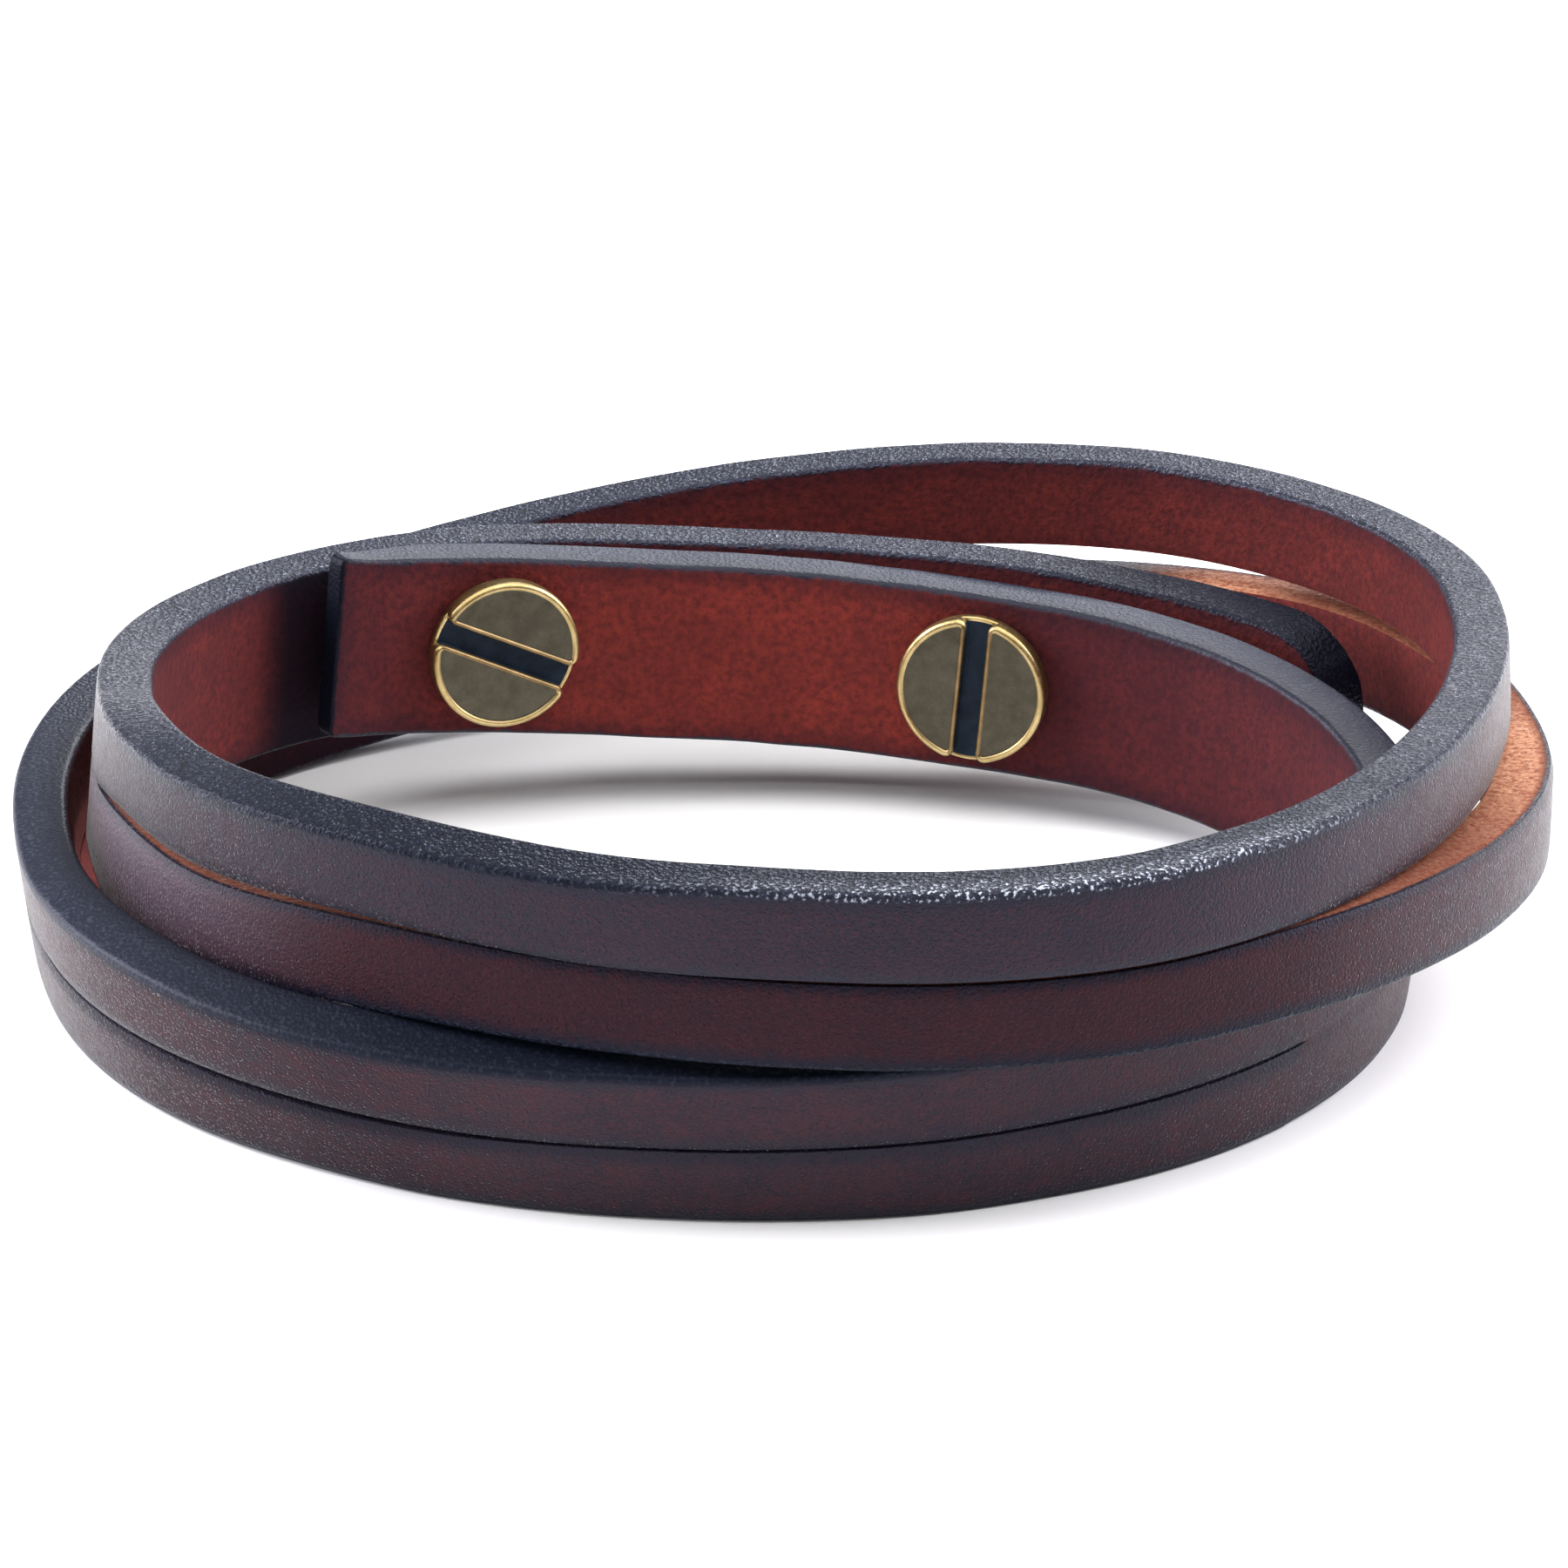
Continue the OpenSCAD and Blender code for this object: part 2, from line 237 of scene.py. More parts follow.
@dataclass(frozen=True)
class Winding:
    """The run of the strap around the wrist, in millimetres."""

    opening_w: float = 59.0
    opening_d: float = 50.4
    oval_power: float = 2.15
    strap_w: float = 9.2
    strap_t: float = 2.7
    layer_gap: float = 0.3
    inner_corner_r: float = 0.5
    outer_corner_r: float = 4.0
    inner_end: float = -48.5
    outer_end: float = 776.0
    slit_w: float = 0.15
    slit_start: float = 123.0
    slit_end: float = 627.0
    nudge: float = 0.5

    @property
    def layer(self) -> float:
        """Distance from one layer of leather to the next."""
        return self.strap_t + self.layer_gap

    def middle(self, turns: np.ndarray) -> np.ndarray:
        """Follow the strap's middle line.

        Args:
            turns: Turn angles in degrees.

        Returns:
            A point for each angle.
        """
        q = np.radians(turns)
        across = (np.abs(np.sin(q)) / (self.opening_w / 2)) ** self.oval_power
        back = (np.abs(np.cos(q)) / (self.opening_d / 2)) ** self.oval_power
        r = (across + back) ** (-1 / self.oval_power)
        r = r + self.strap_t / 2 + self.layer * read(WINDING, WindingColumn.OUT, turns)
        z = self.strap_w * read(WINDING, WindingColumn.UP, turns)
        return np.stack([r * np.sin(q), r * np.cos(q), z], axis=-1)

    def upright(self, turns: np.ndarray) -> tuple[np.ndarray, np.ndarray]:
        """Find the directions across the strap before it leans.

        Args:
            turns: Turn angles in degrees.

        Returns:
            The directions out and up.
        """
        along = unit(self.middle(turns + self.nudge) - self.middle(turns - self.nudge))
        out = unit(np.cross(np.array([0.0, 0.0, 1.0]), along))
        return out, np.cross(along, out)

    def degree_l(self, turns: np.ndarray) -> np.ndarray:
        """Return the length of strap for one degree of turn."""
        ends = self.middle(turns + self.nudge) - self.middle(turns - self.nudge)
        return np.linalg.norm(ends, axis=-1) / (2 * self.nudge)

    def joined(self, turns: np.ndarray) -> np.ndarray:
        """Tell where the two strips are still one."""
        return (turns <= self.slit_start) | (turns >= self.slit_end)

    def slit_value(self, column: SlitColumn, turns: np.ndarray) -> np.ndarray:
        """Read the slit's table, with nothing where the strips are joined."""
        return np.where(self.joined(turns), 0.0, read(SLIT, column, turns))

    def opening(self, turns: np.ndarray) -> np.ndarray:
        """Return the slit's width in millimetres."""
        wide = self.slit_w + self.strap_w * np.maximum(read(SLIT, SlitColumn.OPEN, turns), 0)
        return np.where(self.joined(turns), 0.0, wide)

    def half_frame(self, turns: np.ndarray, side: Side) -> tuple[np.ndarray, np.ndarray, np.ndarray]:
        """Return the middle of one strip and its own directions out and up.

        Args:
            turns: Turn angles in degrees.
            side: The upper or the lower strip.

        Returns:
            Places, outward directions and upward directions.
        """
        s = side.value
        out, up = self.upright(turns)
        angle = read(WINDING, WindingColumn.LEAN, turns)
        both_out, both_up = lean(out, up, angle)
        own_out, own_up = lean(out, up, angle + s * self.slit_value(SlitColumn.TWIST, turns))
        rise = s * (self.strap_w / 4 + self.opening(turns) / 2)
        step = s * self.layer * self.slit_value(SlitColumn.STEP, turns) / 2
        place = self.middle(turns) + both_up * rise[:, None] - both_out * step[:, None]
        return place, own_out, own_up

    def face_point(self, turn: float, face: int, q: float, reach: float) -> np.ndarray:
        """Return a point on the strap's face beside a screw.

        Args:
            turn: The screw's turn angle on that layer.
            face: 1 for the outer face and -1 for the inner one.
            q: Angle around the screw's axis in degrees.
            reach: Distance from the axis.

        Returns:
            The point, in millimetres.
        """
        here = np.array([turn])
        there = here + reach * math.cos(math.radians(q)) / self.degree_l(here)
        out, up = lean(*self.upright(there), read(WINDING, WindingColumn.LEAN, there))
        point = self.middle(there) + out * face * self.strap_t / 2
        return (point + up * reach * math.sin(math.radians(q)))[0]

    def screw_axis(self, turn: float) -> np.ndarray:
        """Find the outward direction of a screw.

        Args:
            turn: The screw's turn angle on the inner layer.

        Returns:
            The direction of its axis.
        """
        here = np.array([turn])
        out, _ = lean(*self.upright(here), read(WINDING, WindingColumn.LEAN, here))
        return out[0]


def new_object(name: str, mesh: bpy.types.Mesh) -> bpy.types.Object:
    """Put a mesh in the scene under a plain name.

    Args:
        name: The object's name.
        mesh: Its mesh, in metres.

    Returns:
        The new object.
    """
    piece = bpy.data.objects.new(name, mesh)
    bpy.context.scene.collection.objects.link(piece)
    return piece


def shade(mesh: bpy.types.Mesh, sharp_over: float) -> None:
    """Shade a mesh smooth, and sharp over an angle in degrees."""
    mesh.shade_smooth()
    mesh.set_sharp_from_angle(angle=math.radians(sharp_over))


def settle(piece: bpy.types.Object) -> None:
    """Turn a piece's modifiers into its mesh.

    Args:
        piece: The piece, which keeps its name.
    """
    bpy.context.view_layer.update()
    ready = piece.evaluated_get(bpy.context.evaluated_depsgraph_get())
    mesh = bpy.data.meshes.new_from_object(ready)
    old = piece.data
    piece.modifiers.clear()
    piece.data = mesh
    mesh.name = piece.name
    bpy.data.meshes.remove(old)


def combine(piece: bpy.types.Object, others: Sequence[bpy.types.Object], how: Combine) -> None:
    """Join other solids to a piece or cut them from it, and drop them.

    Args:
        piece: The piece that stays.
        others: Closed solids.
        how: Whether they are joined or cut.
    """
    for other in others:
        change = piece.modifiers.new(how.name.lower(), "BOOLEAN")
        change.operation = how.value
        change.solver = "EXACT"
        change.object = other
        settle(piece)
        mesh = other.data
        bpy.data.objects.remove(other)
        bpy.data.meshes.remove(mesh)


class Graph:
    """A material's nodes, added one by one with their inputs."""

    def __init__(self, name: str) -> None:
        """Start a material with an empty tree.

        Args:
            name: The material's name.
        """
        self.material = bpy.data.materials.new(name)
        self.material.use_nodes = True
        self.tree = self.material.node_tree
        self.tree.nodes.clear()

    def add(self, kind: str, inputs: dict | None = None, **settings: object) -> bpy.types.Node:
        """Add a node.

        Args:
            kind: The node's type without its ShaderNode prefix.
            inputs: Socket names or numbers, each with a value or another node's output.
            settings: Properties of the node itself.

        Returns:
            The new node.
        """
        node = self.tree.nodes.new("ShaderNode" + kind)
        for key, value in settings.items():
            setattr(node, key, value)
        for key, value in (inputs or {}).items():
            if isinstance(value, Socket):
                self.tree.links.new(value, node.inputs[key])
            else:
                node.inputs[key].default_value = value
        return node

    def millimetres(self) -> Socket:
        """Return the object's own coordinates in millimetres."""
        place = self.add("TexCoord").outputs["Object"]
        return self.add("Mapping", {"Vector": place, "Scale": (1 / MM,) * 3}).outputs["Vector"]

    def noise(self, place: Socket, scale: float, detail: float, rough: float) -> Socket:
        """Return a noise with features of one over scale millimetres."""
        inputs = {"Vector": place, "Scale": scale, "Detail": detail, "Roughness": rough}
        return self.add("TexNoise", inputs).outputs["Fac"]

    def cells(self, place: Socket, scale: float) -> Socket:
        """Return the distance to the middle of cells of one over scale millimetres."""
        return self.add("TexVoronoi", {"Vector": place, "Scale": scale}).outputs["Distance"]

    def value(self, name: str) -> Socket:
        """Return a value that the mesh carries."""
        return self.add("Attribute", attribute_name=name).outputs["Fac"]

    def math(self, how: str, a: Value, b: Value = 0.5, clamp: bool = False) -> Socket:
        """Return the result of one sum on one or two values."""
        return self.add("Math", {0: a, 1: b}, operation=how, use_clamp=clamp).outputs[0]

    def times(self, *factors: Value) -> Socket:
        """Return the product of two or more values."""
        return functools.reduce(lambda a, b: self.math("MULTIPLY", a, b), factors)

    def most(self, *values: Value) -> Socket:
        """Return the greatest of two or more values."""
        return functools.reduce(lambda a, b: self.math("MAXIMUM", a, b), values)

    def plus(self, a: Value, b: Value) -> Socket:
        """Return the sum of two values."""
        return self.math("ADD", a, b)

    def inverse(self, value: Value) -> Socket:
        """Return one less a value."""
        return self.math("SUBTRACT", 1.0, value)

    def fade(
        self, value: Socket, low: Value, high: Value, to_low: float = 0.0, to_high: float = 1.0
    ) -> Socket:
        """Return a value mapped smoothly from one range to another."""
        inputs = {"Value": value, "From Min": low, "From Max": high, "To Min": to_low, "To Max": to_high}
        return self.add("MapRange", inputs, interpolation_type="SMOOTHSTEP").outputs["Result"]

    def falls(self, value: Socket, low: Value, high: Value) -> Socket:
        """Return one below a range and nothing above it, with a smooth change between."""
        return self.fade(value, low, high, 1.0, 0.0)

    def within(self, value: Socket, window: Window) -> Socket:
        """Return one inside a window and nothing outside it, with smooth ends."""
        start, full, fall, end = window
        return self.times(self.fade(value, start, full), self.falls(value, fall, end))

    def blend(self, share: Value, a: Colour, b: Colour) -> Socket:
        """Mix two colours.

        Args:
            share: The share of the second colour.
            a: The first colour.
            b: The second colour.

        Returns:
            The mixed colour.
        """
        node = self.add("Mix", data_type="RGBA")
        for socket, item in zip((node.inputs[0], node.inputs[6], node.inputs[7]), (share, a, b)):
            if isinstance(item, Socket):
                self.tree.links.new(item, socket)
            else:
                socket.default_value = item if isinstance(item, float) else (*item, 1.0)
        return node.outputs[2]

    def over(self, tone: Colour, *layers: tuple[Value, Colour]) -> Socket:
        """Lay colours over a tone.

        Args:
            tone: The tone below.
            layers: The share and the colour of each layer, from the lowest.

        Returns:
            The colour of all together.
        """
        for share, colour in layers:
            tone = self.blend(share, tone, colour)
        return tone

    def mix(self, share: Value, a: Value, b: Value) -> Socket:
        """Return a mix of two plain values."""
        return self.add("Mix", {0: share, 2: a, 3: b}, data_type="FLOAT").outputs[0]

    def bump(self, height: Socket, strength: float, distance: float) -> Socket:
        """Return the normal of a relief with a height in millimetres."""
        inputs = {"Height": height, "Strength": strength, "Distance": distance * MM}
        return self.add("Bump", inputs).outputs["Normal"]

    def finish(self, inputs: dict) -> bpy.types.Material:
        """Close the tree with the main shader.

        Args:
            inputs: The shader's sockets, each with a value or another node's output.

        Returns:
            The material.
        """
        shader = self.add("BsdfPrincipled", inputs)
        output = self.add("OutputMaterial")
        self.tree.links.new(shader.outputs[0], output.inputs["Surface"])
        return self.material


@dataclass(frozen=True)
class WaxedLeather:
    """The strap's finish: a dyed grain face, a red flesh side, dark burnished edges and raw cuts.

    The fields that end in _run hold the turn angles between which a zone fades in or out, or fades in
    and out again.
    """

    # The darkest grain tone, also laid as painted shade on the flesh side.
    grain_dark_and_shade: Tone = (0.010, 0.006, 0.011)
    grain_warm: Tone = (0.034, 0.009, 0.012)
    grain_red: Tone = (0.016, 0.004, 0.005)
    # Painted sheen: a pale lavender tone laid on the lower strip at the left, in place of a lamp's highlight.
    painted_sheen: Tone = (0.085, 0.066, 0.088)
    # The dye's tone, also laid as painted shade along the slit.
    dye_and_shade: Tone = (0.005, 0.006, 0.012)
    flesh_dark: Tone = (0.070, 0.013, 0.012)
    flesh_light: Tone = (0.190, 0.027, 0.019)
    # The darkest edge tone, also laid as painted shade on the edges and as painted shadow on the flesh side.
    edge_dark_and_shade: Tone = (0.003, 0.004, 0.008)
    edge_light: Tone = (0.014, 0.018, 0.034)
    edge_calm: Tone = (0.008, 0.011, 0.021)
    # Painted glints: a pale tone laid on the burnished edges.
    glint_tone: Tone = (0.420, 0.450, 0.520)
    cut_dark: Tone = (0.230, 0.068, 0.036)
    cut_light: Tone = (0.480, 0.235, 0.135)
    cut_brown: Tone = (0.100, 0.022, 0.012)
    cut_fibre: Tone = (0.640, 0.370, 0.240)
    sheen: Tone = (0.82, 0.80, 1.0)
    grain_shine: float = 0.18
    flesh_shine: float = 0.08
    edge_shine: float = 0.26
    front_shine: float = 0.08
    bloom_share: float = 0.5
    bloom_rough: float = 0.16
    relief_strength: float = 0.7
    relief_h: float = 0.06
    first_run: Fade = (285, 300)
    outer_run: Window = (465, 500, 615, 645)
    # Turn angles of the front top edges where the painted glints gather.
    glint_run: Window = (478, 508, 525, 562)
    # Turn angles of the painted shadow on the lower strip's flesh side below the inner end.
    shadow_under_end_run: Window = (285, 300, 335, 350)
    # Turn angles where the raw cut is browner.
    brown_cut_run: Window = (396, 405, 428, 440)
    raw_run: Fade = (385, 395)
    # Turn angles where the band's flesh side takes painted shade at its right and left.
    band_run: Fade = (150, 200)
    first_dull_run: Window = (200, 222, 238, 262)
    # Turn angles of the painted shade on the far wall's flesh side.
    far_wall_shade_run: Window = (290, 330, 375, 400)
    # Turn angles from which the raw cut stays browner.
    brown_cut_from_run: Fade = (442, 474)
    # Turn angles over which the painted sheen comes in on the lower strip.
    painted_sheen_run: Fade = (578, 612)
    # Turn angles of the painted shade on the lower strip's edges under the lap.
    lap_shade_run: Fade = (636, 650)
    # Turn angles of the painted shadow on the outer layer by the inner end.
    shadow_beside_end_run: Window = (665.5, 671, 690, 700)
    tail_run: Fade = (735, 758)
    tips: Window = (-48.2, -47.4, 768.0, 774.0)

    def grain(self, g: Graph, on: "LeatherZones") -> Socket:
        """Tone the grain face.

        Args:
            g: The leather's nodes.
            on: The strap's zones.

        Returns:
            Warm and dark patches with pores, painted sheen at the lower left, dye by the edges, painted shade
            by the slit.
        """
        warmth = g.plus(g.plus(g.times(on.cloud, 0.3), g.times(on.mottle, 0.3)), g.times(on.fine, 0.4))
        tone = g.blend(g.fade(warmth, 0.34, 0.68), self.grain_dark_and_shade, self.grain_warm)
        return g.over(
            tone,
            (g.fade(on.pores, 0.05, 0.28, 0.5, 0.0), self.dye_and_shade),
            (g.times(on.outer, 0.6), g.blend(on.upper, self.grain_red, self.dye_and_shade)),
            # Painted sheen on the lower strip at the left.
            (g.times(on.lower_round, g.fade(on.run, *self.painted_sheen_run, 0.0, 0.55)), self.painted_sheen),
            (g.fade(on.fine, 0.50, 0.72, 0.0, 0.45), self.grain_warm),
            # Dye by the long edges, and painted shade along the slit.
            (on.dye_and_slit_shade, self.dye_and_shade),
        )

    def flesh(self, g: Graph, on: "LeatherZones") -> Socket:
        """Tone the flesh side.

        Args:
            g: The leather's nodes.
            on: The strap's zones.

        Returns:
            Red-brown fibres, darker by the edges, painted shade on the band and far wall, painted shadow at
            the inner end.
        """
        # Painted shade on the band's flesh side, at its right and left.
        in_band = g.falls(on.run, *self.band_run)
        band_shade_right = g.times(in_band, g.fade(on.to_right, 0.25, 0.55, 0.0, 0.62))
        band_shade_left = g.times(in_band, g.fade(on.to_right, -0.70, -0.45, 0.45, 0.0))
        # Painted shade on the far wall's flesh side.
        start, full, fall, end = self.far_wall_shade_run
        far_wall_shade = g.times(g.fade(on.run, start, full), g.fade(on.run, fall, end, 0.35, 0.32))
        # Painted shadow on the outer layer beside the inner end.
        start, full, fall, end = self.shadow_beside_end_run
        shadow_beside_end = g.times(g.fade(on.run, start, full, 0.0, 0.9), g.falls(on.run, fall, end))
        # The lower strip, for the painted shadow below the inner end.
        below = g.math("SUBTRACT", 0.8, on.upper, clamp=True)
        return g.over(
            g.blend(g.fade(on.fibre, 0.20, 0.80), self.flesh_dark, self.flesh_light),
            (g.fade(on.cloud, 0.35, 0.65, 0.0, 0.35), self.flesh_dark),
            # Painted shade at the band's right and left.
            (g.most(band_shade_right, band_shade_left), self.grain_dark_and_shade),
            # Painted shade towards the left.
            (g.fade(on.to_right, -0.85, -0.25, 0.20, 0.0), self.grain_dark_and_shade),
            (g.fade(on.rim_uneven, 0.2, 1.6, 0.45, 0.0), self.grain_dark_and_shade),
            # Painted shade on the far wall.
            (far_wall_shade, self.grain_dark_and_shade),
            # Painted shadow beside the inner end.
            (shadow_beside_end, self.edge_dark_and_shade),
            # Painted shadow below the inner end.
            (g.times(g.within(on.run, self.shadow_under_end_run), below), self.grain_dark_and_shade),
        )

    def burnish(self, g: Graph, on: "LeatherZones") -> Socket:
        """Tone the burnished edges.

        Args:
            g: The leather's nodes.
            on: The strap's zones.

        Returns:
            Blue-black wax with painted glints at the front, dark ends, and painted shade under the lap, on
            the band and in front.
        """
        # Painted glints: a few on all edges, most on the front top edges.
        painted_glints = g.times(g.fade(on.grit, 0.56, 0.68), g.plus(g.times(on.glint_zone, 0.9), 0.04))
        shaded = g.times(on.first_round, g.fade(on.depth, 0.35, 0.90, 0.0, 0.8))
        return g.over(
            g.blend(g.fade(on.grit, 0.38, 0.66), self.edge_dark_and_shade, self.edge_light),
            (g.times(on.first_round, 0.65), self.edge_calm),
            (painted_glints, self.glint_tone),
            # Dark ends, and painted shade under the lap, on the first round's top edge and along the front.
            (g.most(on.tail, shaded, g.times(on.front_without_glint, 0.6)), self.edge_dark_and_shade),
        )

    def bare(self, g: Graph, on: "LeatherZones") -> Socket:
        """Tone the raw cuts in the slit.

        Args:
            g: The leather's nodes.
            on: The strap's zones.

        Returns:
            Orange fibres, stained brown near the grain face and brown along two runs of the slit.
        """
        # Browner along two runs of the slit.
        brown_runs = g.most(g.within(on.run, self.brown_cut_run), g.fade(on.run, *self.brown_cut_from_run))
        brown_share = g.most(brown_runs, g.falls(on.depth, 0.08, 0.30))
        return g.over(
            g.blend(g.fade(on.fibre, 0.30, 0.66), self.cut_dark, self.cut_light),
            (g.fade(on.grit, 0.52, 0.66, 0.0, 0.6), self.cut_fibre),
            (g.times(brown_share, 0.8), self.cut_brown),
        )

    def roughness(self, g: Graph, on: "LeatherZones") -> Socket:
        """Find the roughness of each part.

        Args:
            g: The leather's nodes.
            on: The strap's zones.

        Returns:
            The roughness.
        """
        grain = g.fade(on.mottle, 0.3, 0.7, 0.36, 0.48)
        edge = g.mix(on.first_round, g.fade(on.grit, 0.35, 0.65, 0.50, 0.24), 0.46)
        return on.by_part(g.mix, grain, 0.8, edge, 0.9)

    def shine(self, g: Graph, on: "LeatherZones") -> Socket:
        """Return how much each part mirrors.

        Args:
            g: The leather's nodes.
            on: The strap's zones.

        Returns:
            The shine, low where the strap is worn or turned to the camera.
        """
        start, full, fall, end = self.first_dull_run
        dull_start = g.times(g.fade(on.run, start, full), g.fade(on.run, fall, end, 0.8, 0.0))
        brown_runs = g.most(dull_start, g.times(on.lower_round, on.ahead))
        grain = g.mix(brown_runs, self.grain_shine, self.front_shine)
        edge = g.mix(g.most(on.front_without_glint, on.tail), self.edge_shine, self.front_shine)
        return on.by_part(g.mix, grain, self.flesh_shine, edge, self.flesh_shine)

    def relief(self, g: Graph, on: "LeatherZones") -> Socket:
        """Return the normal of pores, fibres and burnished grit.

        Args:
            g: The leather's nodes.
            on: The strap's zones.

        Returns:
            The normal of the relief.
        """
        pitted = g.plus(g.fade(on.pores, 0.0, 0.4), g.times(on.fine, 1.4))
        edge = g.times(on.grit, g.mix(on.first_round, 3.6, 1.2))
        height = on.by_part(g.mix, pitted, g.times(on.fibre, 2.0), edge, g.times(on.fibre, 3.0))
        return g.bump(height, self.relief_strength, self.relief_h)

    def material(self) -> bpy.types.Material:
        """Build the leather's material.

        Returns:
            The material, which reads the values that the strap's mesh carries.
        """
        g = Graph("waxed_leather")
        on = LeatherZones(g, self)
        tones = (self.grain(g, on), self.flesh(g, on), self.burnish(g, on), self.bare(g, on))
        return g.finish({
            "Base Color": on.by_part(g.blend, *tones),
            "Roughness": self.roughness(g, on),
            "Normal": self.relief(g, on),
            "Specular IOR Level": self.shine(g, on),
            "Specular Tint": (*self.sheen, 1.0),
            "Sheen Weight": g.mix(g.most(on.edge, on.flesh_side), self.bloom_share, 0.0),
            "Sheen Roughness": self.bloom_rough,
        })


class LeatherZones:
    """Where the strap's sides, edges, cuts, rounds, painted shade and glints lie, each as a node output from
    0 to 1.
    """

    def __init__(self, g: Graph, finish: WaxedLeather) -> None:
        """Add the noises, the values that the mesh carries and the zones made from them.

        Args:
            g: The leather's nodes.
            finish: The leather's finish, which holds the turn angles of its zones.
        """
        place = g.millimetres()
        self.cloud = g.noise(place, 0.35, 3.0, 0.5)
        self.mottle = g.noise(place, 1.6, 3.0, 0.55)
        self.fine = g.noise(place, 6.0, 1.0, 0.5)
        self.grit = g.noise(place, 5.0, 1.5, 0.5)
        self.fibre = g.noise(place, 2.8, 3.0, 0.6)
        self.pores = g.cells(place, 5.0)
        self.depth = g.value("depth")
        self.run = g.value("run")
        self.upper = g.value("upper")
        self.add_rounds(g, finish)
        self.add_parts(g, finish)

    def add_rounds(self, g: Graph, finish: WaxedLeather) -> None:
        """Add the zones that follow the strap's run.

        Args:
            g: The leather's nodes.
            finish: The leather's finish.
        """
        angle = g.times(self.run, math.radians(1))
        lower = g.inverse(self.upper)
        start, full, fall, end = finish.tips
        tip = g.most(g.falls(self.run, start, full), g.fade(self.run, fall, end))
        # The lower strip under the lap, whose edges take painted shade.
        lap_shade = g.times(lower, g.fade(self.run, *finish.lap_shade_run))
        self.to_right = g.math("SINE", angle)
        self.ahead = g.falls(g.math("COSINE", angle), -0.85, -0.20)
        self.first_round = g.falls(self.run, *finish.first_run)
        self.outer = g.within(self.run, finish.outer_run)
        self.lower_round = g.times(self.outer, lower)
        top = g.times(self.upper, g.fade(self.depth, 0.1, 0.7, 1.0, 0.15))
        # Where the painted glints gather: the top edges at the front.
        self.glint_zone = g.times(g.within(self.run, finish.glint_run), top)
        # The front without the glints, whose edges take painted shade.
        self.front_without_glint = g.math("SUBTRACT", self.ahead, self.glint_zone, clamp=True)
        # The dark-dyed ends together with the painted shade under the lap.
        self.tail = g.most(tip, g.fade(self.run, *finish.tail_run, 0.0, 0.8), lap_shade)

    def add_parts(self, g: Graph, finish: WaxedLeather) -> None:
        """Add the zones across the section: the flesh side, the edges, their dye, painted shade by the slit
        and the raw cut.

        Args:
            g: The leather's nodes.
            finish: The leather's finish.
        """
        rim = g.value("rim")
        uneven = g.times(g.math("SUBTRACT", self.mottle, 0.5), 0.9)
        self.rim_uneven = g.plus(rim, uneven)
        self.flesh_side = g.fade(self.depth, 0.45, 0.55)
        edge_in = g.falls(g.plus(rim, g.times(uneven, 0.4)), 0.10, 0.34)
        self.edge = g.mix(self.flesh_side, g.falls(rim, 0.22, 0.50), edge_in)
        # Painted shade along the slit, wider on the first round.
        seam_w = g.mix(self.first_round, 0.7, 1.5)
        at_seam = g.falls(g.plus(g.value("seam"), uneven), 0.0, seam_w)
        near = g.most(g.falls(self.rim_uneven, 0.3, 1.2), at_seam)
        # Dye by the long edges, with the painted shade along the slit.
        self.dye_and_slit_shade = g.times(near, g.times(g.inverse(self.flesh_side), 0.85))
        bared = g.fade(g.plus(self.depth, g.times(uneven, 0.06)), 0.05, 0.13)
        cut = g.times(g.fade(g.value("cut"), 0.35, 0.65), bared)
        self.raw = g.times(cut, g.fade(self.run, *finish.raw_run))

    def by_part(self, join: Join, grain: Value, flesh: Value, edge: Value, cut: Value) -> Socket:
        """Join what holds on the strap's four parts.

        Args:
            join: The graph's way to mix two values or two tones by a share.
            grain: What holds on the grain face.
            flesh: What holds on the flesh side.
            edge: What holds on the burnished edges.
            cut: What holds on the raw cuts.

        Returns:
            What holds on the whole strap.
        """
        sides = join(self.flesh_side, grain, flesh)
        return join(self.raw, join(self.edge, sides, edge), cut)


@dataclass(frozen=True)
class AntiqueBrass:
    """A brass finish, from bright worn rims to the dark slot."""

    name: str
    dark: Tone
    light: Tone
    rough_low: float
    rough_high: float
    metallic: float = 1.0
    shine: float = 0.5

    def material(self) -> bpy.types.Material:
        """Build the brass's material.

        Returns:
            The material, with patches of patina.
        """
        g = Graph(self.name)
        place = g.millimetres()
        patina = g.noise(place, 1.1, 5.0, 0.6)
        fine = g.noise(place, 9.0, 3.0, 0.6)
        both = g.plus(g.times(patina, 0.7), g.times(fine, 0.3))
        return g.finish({
            "Base Color": g.blend(g.fade(both, 0.35, 0.65), self.dark, self.light),
            "Metallic": self.metallic,
            "Roughness": g.fade(fine, 0.3, 0.7, self.rough_low, self.rough_high),
            "Specular IOR Level": self.shine,
            "Normal": g.bump(both, 0.25, 0.03),
        })


class Part(Enum):
    """The parts of half a section's outline."""

    FACE = 0
    CUT_CORNER = 1
    EDGE_CORNER = 2
    EDGE = 3


@dataclass(frozen=True)
class Outline:
    """Half a section from the slit around the long edge and back, with one value for each point."""

    part: np.ndarray
    x_share: np.ndarray
    y_share: np.ndarray
    angle: np.ndarray

    def on(self, part: Part) -> np.ndarray:
        """Tell which points lie on a part."""
        return self.part == part.value


@dataclass(frozen=True)
class FlatHalf:
    """One strip's sections laid flat, in millimetres: rows are sections and columns outline points."""

    x: np.ndarray
    y: np.ndarray
    half_t: np.ndarray
    edge: np.ndarray


